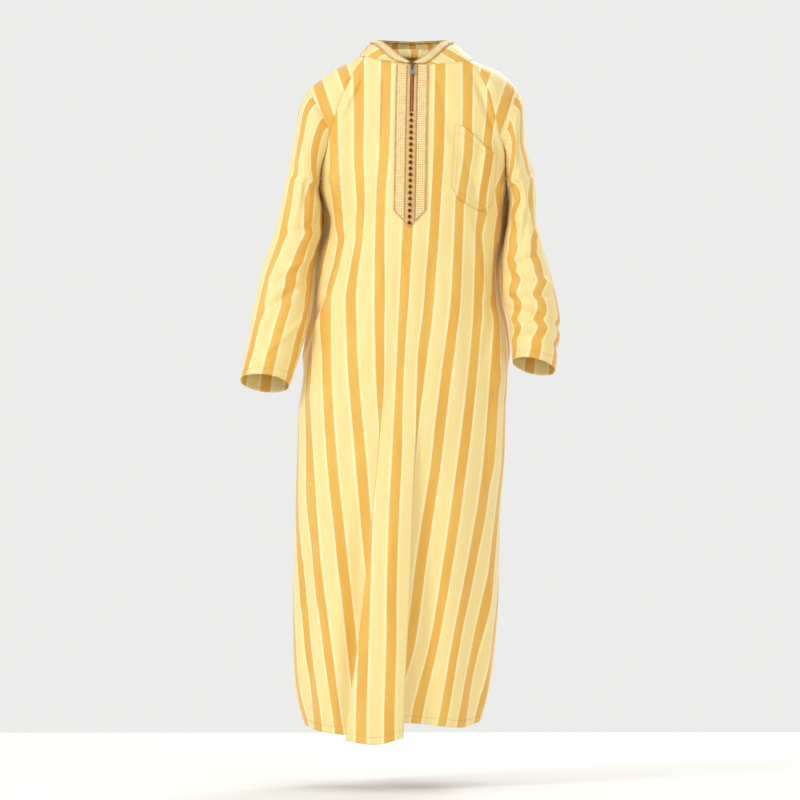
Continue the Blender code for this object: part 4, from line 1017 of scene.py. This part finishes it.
hoodStops = [("left", place) for place in spread(0, 1, hoodForm["around"])]
hoodStops += [("right", place) for place in reversed(spread(0, 1, hoodForm["around"])[:-1])]
hoodColumns = []
for side, place in hoodStops:
    column = alongCurve([hoodKnot(side, place, layer) for layer in hoodLayers], hoodTargets)
    base = neckPoint(side, place)
    inward = Vector((-base.x, -base.y, 0)).normalized()
    tucked = base + inward * neckForm["allowanceIn"] - upward * neckForm["allowanceDown"]
    hoodColumns.append([tucked, *column])
hoodGrid = [[column[r] for column in hoodColumns] for r in range(len(hoodColumns[0]))]
hoodMiddle = hoodForm["around"]
hoodLast = len(hoodGrid) - 1
trimFirst = hoodLast - hoodForm["trimRows"]
hoodNormals = squareTo(hoodGrid, backward, (hoodLast, hoodMiddle))
hoodAcross = [0.0]
for c in range(1, len(hoodStops)):
    gaps = [(hoodGrid[r][c] - hoodGrid[r][c - 1]).length for r in range(0, hoodLast, 4)]
    hoodAcross.append(hoodAcross[-1] + sum(gaps) / len(gaps))
hoodCut = []
runs = [0.0] * len(hoodStops)
for r in range(hoodLast + 1):
    if r:
        runs = [run + (hoodGrid[r][c] - hoodGrid[r - 1][c]).length for c, run in enumerate(runs)]
    hoodCut.append([(hoodAcross[c] - hoodAcross[hoodMiddle], run) for c, run in enumerate(runs)])
hoodPiece = makeSheet("hoodCloth", hoodGrid, hoodCut, clothWall, backward, (hoodLast, hoodMiddle))

trimTop = hoodForm["trimGap"] + hoodForm["trimWall"]
trimGrid = []
trimCut = []
for r in range(trimFirst, hoodLast + 1):
    trimGrid.append([point + normal * trimTop for point, normal in zip(hoodGrid[r], hoodNormals[r])])
    width = (r - trimFirst) / hoodForm["trimRows"] * hoodForm["trim"]
    trimCut.append([(width, length) for length in hoodAcross])
trimPiece = makeSheet("hoodTrimBraid", trimGrid, trimCut, hoodForm["trimWall"], backward, (4, hoodMiddle))
print("hood made")

placketForm = {
    "top": -0.0200, "shoulder": -0.3200, "end": -0.3550, "half": 0.0336, "band": 0.0104,
    "lift": 0.0018, "wall": 0.0010, "rows": 120, "tip": -0.3437,
}


def panelSpot(x, z):  # the front panel straight behind a place, and its direction
    found = frontTree.ray_cast(Vector((x, -1, z)), backward)
    return found[0], found[1] if found[1].y < 0 else -found[1]


def placketSpot(off, z):  # the front panel at a distance from the placket's middle
    return panelSpot(readRow(placketMiddle, z)[0] + off, z)


def placketSide(z):
    closing = (z - placketForm["end"]) / (placketForm["shoulder"] - placketForm["end"])
    return placketForm["half"] * min(1.0, max(0.0, closing))


def panelStrip(name, inner, outer, first, last, rows, columns, lift, wall):
    # a band laid on the front panel between two distances from the placket's middle
    grid = []
    cloth = []
    for z in spread(first, last, rows):
        offs = spread(inner(z), outer(z), columns)
        grid.append([placketSpot(off, z)[0] + forward * lift for off in offs])
        cloth.append([(off, z) for off in offs])
    return makeSheet(name, grid, cloth, wall, forward)


placketTop = placketForm["top"]
placketTip = placketForm["tip"]
bandHalf = placketForm["band"]
placketPieces = {}
for side, sign in (("left", -1), ("right", 1)):
    placketPieces[side] = panelStrip(
        "placketBraid_" + side, lambda z: sign * (bandHalf + 0.0003),
        lambda z: sign * max(placketSide(z), bandHalf + 0.0004), placketTop, placketTip,
        placketForm["rows"], 8, placketForm["lift"], placketForm["wall"],
    )
placketPieces["band"] = panelStrip(
    "placketRibbon", lambda z: -min(bandHalf, placketSide(z) + 0.0002),
    lambda z: min(bandHalf, placketSide(z) + 0.0002), placketTop, placketForm["end"] + 0.0008,
    placketForm["rows"], 6, placketForm["lift"] + 0.0002, placketForm["wall"],
)
zipForm = {"top": -0.0206, "end": -0.1180, "half": 0.0040, "lift": 0.0024, "wall": 0.0005, "pitch": 0.0017}
tapePiece = panelStrip(
    "zipTapeWoven", lambda z: -zipForm["half"], lambda z: zipForm["half"], zipForm["top"], zipForm["end"],
    40, 4, zipForm["lift"], zipForm["wall"],
)

pocketForm = {
    "rows": 44, "columns": 40, "lift": 0.0021, "wall": 0.0010, "slack": 0.0010, "hem": 0.0006,
    "stripeFrom": -0.005, "stripeLean": 0.006,
}
pocketAway = Vector((0.4, -1, 0))
pocketGrid = []
pocketCut = []
for down in spread(0, 1, pocketForm["rows"]):
    line = []
    cut = []
    for share in spread(0, 1, pocketForm["columns"]):
        topX, topZ, endX, endZ = readRow(pocketRows, share)
        x = mix(topX, endX, down)
        z = mix(topZ, endZ, down)
        edge = min(share, 1 - share, 1 - down) * 0.09
        lift = pocketForm["lift"] + pocketForm["slack"] * ease(edge / 0.02) * (1 - down)
        if down < 0.10:
            lift += pocketForm["hem"]
        point, normal = panelSpot(x, z)
        line.append(point + normal * lift)
        u = stripeNumber(x, z, turnOf(x, z), "right") * stripeForm["period"]
        cut.append((u + pocketForm["stripeFrom"] + pocketForm["stripeLean"] * share, -z))
    pocketGrid.append(line)
    pocketCut.append(cut)
pocketPiece = makeSheet("pocketCloth", pocketGrid, pocketCut, pocketForm["wall"], pocketAway)
print("placket, zip tape and pocket made")


def grainShape(around, rings):  # one rounded grain, to be laid many times
    mesh = bmesh.new()
    bmesh.ops.create_uvsphere(mesh, u_segments=around, v_segments=rings, radius=1)
    points = [corner.co.copy() for corner in mesh.verts]
    faces = [[corner.index for corner in face.verts] for face in mesh.faces]
    mesh.free()
    return points, faces


fineGrain = grainShape(6, 4)  # faces around and from pole to pole
roundGrain = grainShape(8, 6)


def newHeap():  # grains laid so far: their points and faces
    return {"points": [], "faces": []}


def addBead(heap, point, normal, along, length, width, rise, grain=fineGrain):
    # one stitch: a small rounded grain lying on the cloth
    side = normal.cross(along).normalized() * (width / 2)
    along = side.cross(normal).normalized() * (length / 2)
    up = normal * rise
    begin = len(heap["points"])
    heap["points"] += [point + side * p.x + along * p.y + up * p.z for p in grain[0]]
    heap["faces"] += [[begin + corner for corner in face] for face in grain[1]]


def finishHeap(heap, name):  # grains joined into one piece
    data = bpy.data.meshes.new(name)
    data.from_pydata(heap["points"], [], heap["faces"])
    mesh = bmesh.new()
    mesh.from_mesh(data)
    bpy.data.meshes.remove(data)
    bmesh.ops.recalc_face_normals(mesh, faces=mesh.faces)
    return finishMesh(mesh, name)


def stitchRun(heap, points, normals, pitch, length, width, rise, slant=0.0):
    # even stitches along a line of points
    run = 0.0
    due = pitch / 2
    for at in range(len(points) - 1):
        step = points[at + 1] - points[at]
        size = step.length
        while size > 1e-9 and run + size >= due:
            share = (due - run) / size
            normal = normals[at].lerp(normals[at + 1], share).normalized()
            along = step.normalized()
            if slant:
                along = (along + normal.cross(along) * slant).normalized()
            addBead(heap, points[at].lerp(points[at + 1], share), normal, along, length, width, rise)
            due += pitch
        run += size


def gridRun(grid, normals, places, lift):
    points = [grid[r][c] + normals[r][c] * lift for r, c in places]
    return points, [normals[r][c] for r, c in places]


# pitch, length, width and rise of the stitches along seams, hems and pocket
seamStitch = (0.0036, 0.0027, 0.0007, 0.00035)
clothStitches = newHeap()


def sewAlong(grid, normals, places):
    stitchRun(clothStitches, *gridRun(grid, normals, places, 0.0003), *seamStitch)


armAround = armForm["around"]
for name, grid in armGrids.items():
    away = Vector((-1 if name.endswith("left") else 1, 0, 0.3))
    normals = squareTo(grid, away, (len(grid) // 2, armAround // 2))
    seamRow = len(grid) - 4 if name.startswith("shoulder") else 3
    sewAlong(grid, normals, [(seamRow, c) for c in range(2, armAround - 1)])
    if name.startswith("sleeve"):
        sewAlong(grid, normals, [(len(grid) - 5, c) for c in range(1, armAround + 2)])
for grid, form, away in ((frontGrid, frontForm, forward), (backGrid, backForm, backward)):
    normals = squareTo(grid, away, (60, len(grid[0]) // 2))
    hemRow = len(grid) - 1 - round(form["hem"] * 0.60)
    sewAlong(grid, normals, [(hemRow, c) for c in range(2, len(grid[0]) - 2)])
pocketNormals = squareTo(pocketGrid, pocketAway, (20, 20))
lastRow = pocketForm["rows"]
lastColumn = pocketForm["columns"]
for inset in (1, 4):
    path = [(r, inset) for r in range(0, lastRow - inset)]
    path += [(lastRow - inset, c) for c in range(inset, lastColumn - inset)]
    sewAlong(pocketGrid, pocketNormals, path)
sewAlong(pocketGrid, pocketNormals, [(5, c) for c in range(1, lastColumn - 1)])
stitchPiece = finishHeap(clothStitches, "topStitching")

# the placket's embroidery: rows of small satin stitches with tan ground showing between
embroidery = {
    "pitch": 0.0047, "columns": (0.0142, 0.0185, 0.0228, 0.0271), "width": 0.0041, "height": 0.0041,
    "rise": 0.0007, "start": 0.003, "lift": 0.0001, "edge": 0.0045,
}
creamHeap = newHeap()
firstStitch = placketTop - embroidery["start"]
for at in range(int((firstStitch - placketTip) / embroidery["pitch"])):
    z = firstStitch - at * embroidery["pitch"]
    for sign in (-1, 1):
        for off in embroidery["columns"]:
            if off > placketSide(z) - embroidery["edge"]:
                continue
            point, normal = placketSpot(sign * off, z)
            addBead(
                creamHeap, point + forward * (placketForm["lift"] + embroidery["lift"]), normal,
                upward, embroidery["height"], embroidery["width"], embroidery["rise"],
            )
creamPiece = finishHeap(creamHeap, "placketStitches")

# twisted braid along the placket's edges: its turns, their lean, and where both sides meet
braidForm = {"pitch": 0.0021, "rise": 0.0006, "slant": 0.55, "lift": 0.0002, "tip": -0.3530}
braidHeap = newHeap()


def braidRun(offset, last, count, pitch, length, width, rise, slant=0.0):
    points = []
    normals = []
    for z in spread(placketTop, last, count):
        point, normal = placketSpot(offset(z), z)
        points.append(point + forward * (placketForm["lift"] + braidForm["lift"]))
        normals.append(normal)
    stitchRun(braidHeap, points, normals, pitch, length, width, rise, slant)


pitch = braidForm["pitch"]
rise = braidForm["rise"]
for sign in (-1, 1):
    slant = braidForm["slant"] * sign
    for inset, width in ((0.0012, 0.0011), (0.0028, 0.0009)):
        braidRun(
            lambda z: sign * max(0.0004, placketSide(z) - inset), braidForm["tip"], 150,
            pitch, 0.0025, width, rise, slant,
        )
    braidRun(lambda z: sign * (bandHalf + 0.0009), placketTip, 140, pitch, 0.0023, 0.0009, rise, -slant)
    braidRun(lambda z: sign * (bandHalf - 0.0012), placketTip, 140, 0.0030, 0.0022, 0.0007, 0.0005)
hoodDots = newHeap()
# heap, row of the hood's trim, lift, pitch, length, width, rise, slant
for heap, row, lift, *stitch in (
    (braidHeap, 1, 0.0002, 0.0022, 0.0025, 0.0010, 0.0006, 0.5),
    (braidHeap, 7, 0.0002, 0.0022, 0.0025, 0.0011, 0.0006, 0.5),
    (hoodDots, 3, 0.0001, 0.0046, 0.0034, 0.0032, 0.0007),
    (hoodDots, 5, 0.0001, 0.0046, 0.0034, 0.0032, 0.0007),
):
    places = [(trimFirst + row, c) for c in range(len(hoodStops))]
    stitchRun(heap, *gridRun(hoodGrid, hoodNormals, places, trimTop + lift), *stitch)
braidPiece = finishHeap(braidHeap, "braidEdges")
hoodDotPiece = finishHeap(hoodDots, "hoodTrimStitches")

knotForm = {
    "count": 19, "width": 0.0072, "rise": 0.0042, "turns": 7, "cord": 0.00062, "steps": 120, "corners": 5,
    "link": (0.0054, 0.0030, 0.0011), "linkUp": 0.0062, "linkLift": 0.0006,
}


def windCord(mesh, centre, turned):  # one round knot: a thin cord wound over a small bead
    cord = knotForm["cord"]
    corners = knotForm["corners"]
    radius = knotForm["width"] / 2 - cord * 0.4
    tall = knotForm["rise"] * 0.62
    rings = []
    last = None
    for t in spread(0, 1, knotForm["steps"]):
        lean = math.pi * (0.06 + 0.88 * t)
        spin = 2 * math.pi * knotForm["turns"] * t
        x = radius * math.sin(lean) * math.cos(spin)
        place = Vector((x, radius * math.cos(lean), tall * math.sin(lean) * math.sin(spin)))
        tangent = (place - last).normalized() if last else upward
        last = place
        out = place.normalized()
        sideways = tangent.cross(out)
        sideways = sideways.normalized() if sideways.length > 1e-6 else rightward
        ring = []
        for corner in range(corners):
            angle = 2 * math.pi * corner / corners
            offset = (out * math.cos(angle) + sideways * math.sin(angle)) * cord
            ring.append(mesh.verts.new(centre + turned @ (place + offset)))
        rings.append(ring)
    for low, high in zip(rings, rings[1:]):
        for corner in range(corners):
            after = (corner + 1) % corners
            mesh.faces.new((low[corner], low[after], high[after], high[corner]))
    mesh.faces.new(list(reversed(rings[0])))
    mesh.faces.new(rings[-1])


knotNodes = ["knot_%02d" % (at + 1) for at in range(knotForm["count"])]
knotMesh = bmesh.new()
linkHeap = newHeap()
for node in knotNodes:
    low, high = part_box(node)
    centre = (Vector(low) + Vector(high)) / 2
    normal = panelSpot(centre.x, centre.z)[1]
    normal = Vector((0, normal.y, normal.z)).normalized()
    turned = Matrix((rightward, normal.cross(rightward), normal)).transposed()
    wide = knotForm["width"] * 0.46
    bead = turned.to_4x4() @ Matrix.Diagonal((wide, wide, knotForm["rise"] * 0.5, 1))
    bead = Matrix.Translation(centre) @ bead
    bmesh.ops.create_uvsphere(knotMesh, u_segments=16, v_segments=10, radius=1, matrix=bead)
    windCord(knotMesh, centre, turned)
    if node != knotNodes[0]:
        spot, out = panelSpot(centre.x, centre.z + knotForm["linkUp"])
        spot += forward * (placketForm["lift"] + knotForm["linkLift"])
        addBead(linkHeap, spot, out, upward, *knotForm["link"], roundGrain)
bmesh.ops.recalc_face_normals(knotMesh, faces=knotMesh.faces)
knotPiece = finishMesh(knotMesh, "knotButtons")
linkPiece = finishHeap(linkHeap, "knotLinks")

# length, width and rise of a tooth, its place beside the middle and over the tape, bare ends of the tape
toothForm = {"size": (0.0026, 0.0014, 0.0007), "side": 0.0008, "lift": 0.0003, "end": 0.001, "top": 0.010}
chainHeap = newHeap()
pitch = zipForm["pitch"]
for at in range(int((zipForm["top"] - toothForm["top"] - zipForm["end"]) / pitch)):
    for sign in (-1, 1):
        z = zipForm["end"] + toothForm["end"] + at * pitch + (0 if sign < 0 else pitch / 2)
        point, normal = placketSpot(0, z)
        place = point + Vector((sign * toothForm["side"], -(zipForm["lift"] + toothForm["lift"]), 0))
        addBead(chainHeap, place, normal, rightward, *toothForm["size"], roundGrain)
chainPiece = finishHeap(chainHeap, "zipTeeth")
print("stitches, knots and zip teeth made")


class Wire:  # a shader socket that takes part in sums
    nodes = None
    links = None

    def __init__(self, socket):
        self.socket = socket

    @classmethod
    def node(cls, kind, settings=None, values=None, output=0):
        made = cls.nodes.new("ShaderNode" + kind)
        for name, value in (settings or {}).items():
            setattr(made, name, value)
        for name, value in (values or {}).items():
            if isinstance(value, Wire):
                cls.links.new(value.socket, made.inputs[name])
            else:
                made.inputs[name].default_value = value
        return Wire(made.outputs[output])

    def sum(self, kind, other=0.0, turned=False):
        first, second = (other, self) if turned else (self, other)
        return Wire.node("Math", {"operation": kind}, {0: first, 1: second})

    def __add__(self, other):
        return self.sum("ADD", other)

    __radd__ = __add__

    def __mul__(self, other):
        return self.sum("MULTIPLY", other)

    __rmul__ = __mul__

    def __sub__(self, other):
        return self.sum("SUBTRACT", other)

    def __rsub__(self, other):
        return self.sum("SUBTRACT", other, True)

    def __truediv__(self, other):
        return self.sum("DIVIDE", other)

    def __abs__(self):
        return self.sum("ABSOLUTE")

    def wave(self, pitch):  # 0 to 1 and back over a pitch in metres
        return (self * (2 * math.pi / pitch)).sum("SINE") * 0.5 + 0.5


def srgb(red, green, blue):
    values = [value / 255 for value in (red, green, blue)]
    return (*[v / 12.92 if v <= 0.04045 else ((v + 0.055) / 1.055) ** 2.4 for v in values], 1.0)


def step(value, low, high):  # 0 below low, 1 above high
    return Wire.node(
        "MapRange", {"interpolation_type": "SMOOTHSTEP"}, {"Value": value, "From Min": low, "From Max": high}
    )


def blend(first, second, share, kind="MIX"):
    return Wire.node("Mix", {"data_type": "RGBA", "blend_type": kind}, {0: share, 6: first, 7: second}, 2)


def noise(x, y, z=0.0, detail=2.0, rough=0.5):  # grain that is as fine as its coordinates are scaled
    place = Wire.node("CombineXYZ", {}, {"X": x, "Y": y, "Z": z})
    return Wire.node(
        "TexNoise", {}, {"Vector": place, "Scale": 1.0, "Detail": detail, "Roughness": rough}
    )


def shade(colour, amount):  # a colour times a number that varies
    grey = Wire.node("CombineColor", {}, {"Red": amount, "Green": amount, "Blue": amount})
    return blend(colour, grey, 1.0, "MULTIPLY")


def newFinish(name, values):
    finish = bpy.data.materials.new(name)
    finish.use_nodes = True
    Wire.nodes = finish.node_tree.nodes
    Wire.links = finish.node_tree.links
    shader = finish.node_tree.nodes["Principled BSDF"]
    for key, value in values.items():
        shader.inputs[key].default_value = value
    return finish, shader


def wearFinish(shader, colour, rough, height, distance, strength=0.6):
    normal = Wire.node("Bump", {}, {"Height": height, "Distance": distance, "Strength": strength})
    for key, wire in (("Base Color", colour), ("Roughness", rough), ("Normal", normal)):
        Wire.links.new(wire.socket, shader.inputs[key])


def cutPlace():  # metres across and down on the flat cloth
    place = Wire.node("UVMap", {"uv_map": "cut"})
    return [Wire.node("SeparateXYZ", {}, {"Vector": place}, at) for at in (0, 1)]


def objectPlace():
    place = Wire.node("TexCoord", {}, {}, 3)
    return [Wire.node("SeparateXYZ", {}, {"Vector": place}, at) for at in (0, 1, 2)]


stripeLook = {
    "orange": srgb(233, 182, 74), "orangeDeep": srgb(227, 169, 60), "pale": srgb(242, 221, 150),
    "cream": srgb(249, 235, 178), "orangeHalf": 0.0108, "creamHalf": 0.0162, "soft": 0.0010,
    "weave": 0.0009,
}


def stripedFinish():
    look = stripeLook
    period = stripeForm["period"]
    finish, shader = newFinish("striped cloth", {
        "Specular IOR Level": 0.42, "Sheen Weight": 0.22, "Sheen Roughness": 0.45,
    })
    across, down = cutPlace()
    wander = noise(across * 18, down * 7, 0.0, 2.0) - 0.5
    fray = noise(across * 300, down * 160, 3.0, 1.0) - 0.5
    place = across + wander * 0.0030 + fray * 0.0007
    turn = (place / period + 0.5).sum("FRACT") - 0.5
    off = abs(turn) * period
    soft = look["soft"]
    orange = 1 - step(off, look["orangeHalf"] - soft, look["orangeHalf"] + soft)
    cream = 1 - step(off, look["creamHalf"] - soft, look["creamHalf"] + soft)
    cloud = noise(across * 22, down * 6, 7.0, 3.0)
    streak = noise(across * 1500, down * 30, 1.0, 2.0, 0.6)
    slub = noise(across * 40, down * 1100, 5.0, 2.0, 0.6)
    gold = blend(look["orange"], look["orangeDeep"], step(cloud, 0.35, 0.65))
    colour = blend(look["pale"], look["cream"], cream * 0.9)
    colour = blend(colour, gold, orange * 0.96)
    colour = shade(colour, streak * 0.10 + slub * 0.07 + cloud * 0.07 + 0.88)
    weave = across.wave(look["weave"]) * down.wave(look["weave"])
    rough = 0.56 - orange * 0.10 + (cloud - 0.5) * 0.12
    wearFinish(shader, colour, rough, weave * 0.5 + streak * 0.7 + slub * 0.5, 0.00035)
    return finish


def wovenFinish(name, base, other, edge, edges, pitch, values=None):
    # a ribbon: fine ribs down its length, mottled between two colours, with edges of a third
    finish, shader = newFinish(name, values or {"Specular IOR Level": 0.35, "Sheen Weight": 0.2})
    across, down = cutPlace()
    grain = noise(across * 500, down * 500, 2.0, 2.0)
    cloud = noise(across * 120, down * 60, 9.0, 2.0)
    colour = blend(base, other, step(cloud * 0.5 + grain * 0.5, 0.40, 0.60))
    for low, high in edges:
        inside = step(across, low - 0.0004, low + 0.0004) * (1 - step(across, high - 0.0004, high + 0.0004))
        colour = blend(colour, edge, inside * 0.8)
    ribs = across.wave(pitch) * 0.6 + down.wave(pitch * 0.7) * 0.4
    colour = shade(colour, ribs * 0.14 + grain * 0.10 + 0.80)
    wearFinish(shader, colour, 0.62 + (cloud - 0.5) * 0.2, ribs + grain * 0.4, 0.0003)
    return finish


def threadFinish(name, base, other, grainScale, rough, values=None):
    # spun thread: strands along its turns, mottled from stitch to stitch
    finish, shader = newFinish(name, values or {"Specular IOR Level": 0.4, "Sheen Weight": 0.25})
    x, y, z = objectPlace()
    patch = noise(x * grainScale, y * grainScale, z * grainScale, 1.0)
    strand = noise(x * 2600, y * 900, z * 2600, 1.0)
    colour = shade(blend(base, other, step(patch, 0.38, 0.62)), strand * 0.22 + 0.86)
    wearFinish(shader, colour, rough + (patch - 0.5) * 0.15, strand, 0.0002)
    return finish


def metalFinish(name, base, worn, metallic, rough):
    finish, shader = newFinish(name, {"Metallic": metallic, "Specular IOR Level": 0.5})
    x, y, z = objectPlace()
    patch = noise(x * 260, y * 260, z * 260, 3.0)
    scratch = noise(x * 2200, y * 500, z * 260, 2.0)
    colour = blend(base, worn, step(patch * 0.7 + scratch * 0.3, 0.45, 0.62))
    wearFinish(shader, colour, rough + (scratch - 0.5) * 0.25, scratch + patch, 0.0001, 0.4)
    return finish


striped = stripedFinish()
braidGround = wovenFinish(
    "braid ground", srgb(246, 218, 152), srgb(234, 192, 120), srgb(178, 136, 84), ((-0.001, 0.0001),), 0.0007
)
trimGround = wovenFinish(
    "hood trim ground", srgb(246, 226, 164), srgb(236, 204, 138), srgb(204, 156, 96),
    ((-0.001, 0.0021), (0.0172, 0.0210)), 0.0008,
)
ribbon = wovenFinish(
    "placket ribbon", srgb(245, 202, 132), srgb(238, 190, 118), srgb(214, 160, 98),
    ((-0.0108, -0.0092), (0.0092, 0.0108)), 0.0006,
)
tape = wovenFinish(
    "zip tape", srgb(128, 72, 38), srgb(104, 54, 26), srgb(150, 94, 50),
    ((-0.0041, -0.0033), (0.0033, 0.0041)), 0.0005,
)
creamThread = threadFinish("cream silk", srgb(251, 238, 186), srgb(246, 228, 164), 160, 0.45)
braidThread = threadFinish("twisted braid", srgb(226, 190, 130), srgb(200, 162, 110), 260, 0.5)
seamThread = threadFinish("sewing thread", srgb(216, 168, 92), srgb(200, 148, 76), 200, 0.55)
linkThread = threadFinish("yellow thread", srgb(240, 200, 116), srgb(224, 176, 92), 200, 0.5)
knotCord = threadFinish("brown cord", srgb(100, 52, 16), srgb(74, 36, 8), 300, 0.42)
teethFinish = metalFinish("zip teeth", srgb(192, 128, 76), srgb(164, 100, 56), 0.0, 0.42)
gunmetal = metalFinish("slider metal", srgb(66, 70, 68), srgb(104, 106, 100), 0.75, 0.38)
pullMetal = metalFinish("pull metal", srgb(150, 156, 152), srgb(104, 108, 104), 0.7, 0.40)
print("finishes made")

# piece, finish, nodes it stands for, slot
dressed = [
    (frontPiece, striped, ["front"], "front"),
    (backPiece, striped, ["back"], "back"),
    (hoodPiece, striped, ["hood"], "hood"),
    (trimPiece, trimGround, ["hood_trim"], "hood_trim"),
    (placketPieces["left"], braidGround, ["placket_left"], "placket_left"),
    (placketPieces["right"], braidGround, ["placket_right"], "placket_right"),
    (placketPieces["band"], ribbon, ["placket_band"], "placket_band"),
    (tapePiece, tape, ["zip_tape"], "zip_tape"),
    (pocketPiece, striped, ["pocket"], "pocket"),
    (stitchPiece, seamThread, [], "front"),
    (creamPiece, creamThread, [], "placket_left"),
    (braidPiece, braidThread, [], "placket_right"),
    (hoodDotPiece, creamThread, [], "hood_trim"),
    (knotPiece, knotCord, knotNodes, "knot_01"),
    (linkPiece, linkThread, [], "placket_band"),
    (chainPiece, teethFinish, [], "zip_tape"),
]
for name, piece in armPieces.items():
    dressed.append((piece, striped, [name], name))
for piece, finish, nodes, slot in dressed:
    piece.data.materials.append(finish)
    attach(piece, "robe")
    if nodes:
        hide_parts(*nodes)
for node, finish in (("zip_slider", gunmetal), ("pull_tab", pullMetal)):
    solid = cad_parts[node]
    solid.data.materials.clear()
    solid.data.materials.append(finish)
view = {"distance": 12.0, "across": -0.0247, "level": -0.7066, "wide": 1.648, "film": 36.0, "far": 60}
camera = bpy.data.objects.new("camera", bpy.data.cameras.new("camera"))
camera.data.sensor_width = view["film"]
camera.data.lens = view["film"] * view["distance"] / view["wide"]
camera.data.clip_end = view["far"]
camera.location = (view["across"], -view["distance"], view["level"])
camera.rotation_euler = (math.pi / 2, 0, 0)
bpy.context.scene.collection.objects.link(camera)
bpy.context.scene.camera = camera

studio = {"floor": -1.500, "half": 1.7, "behind": 0.2, "world": 0.84, "sky": srgb(255, 255, 254)}
floorMesh = bmesh.new()
bmesh.ops.create_grid(
    floorMesh, x_segments=4, y_segments=4, size=studio["half"],
    matrix=Matrix.Translation((view["across"], studio["behind"], studio["floor"])),
)
floor = finishMesh(floorMesh, "floor", False)
floor.data.materials.append(newFinish("floor", {"Base Color": srgb(238, 238, 236), "Roughness": 0.8})[0])
world = bpy.data.worlds.new("studio")
bpy.context.scene.world = world
world.use_nodes = True
sky = world.node_tree.nodes["Background"]
sky.inputs["Color"].default_value = studio["sky"]
sky.inputs["Strength"].default_value = studio["world"]
# place, what it faces, size in metres, power, colour
for name, place, aim, size, power, tint in (
    ("key", (-3.5, -3.0, 1.5), (0, 0, -0.6), 1.3, 92, (1, 1, 1)),
    ("fill", (2.8, -3.4, 0.2), (0, 0, -0.8), 2.4, 20, (1, 0.80, 0.56)),
    ("back", (1.4, 3.2, 1.6), (0, 0, -0.6), 1.6, 60, (1, 1, 1)),
):
    lamp = bpy.data.lights.new(name, "AREA")
    lamp.shape = "SQUARE"
    lamp.size = size
    lamp.energy = power
    lamp.color = tint
    light = bpy.data.objects.new(name, lamp)
    light.location = place
    light.rotation_euler = (Vector(aim) - Vector(place)).to_track_quat("-Z", "Y").to_euler()
    bpy.context.scene.collection.objects.link(light)
bpy.context.scene.view_settings.view_transform = "Standard"
print("camera and light set")
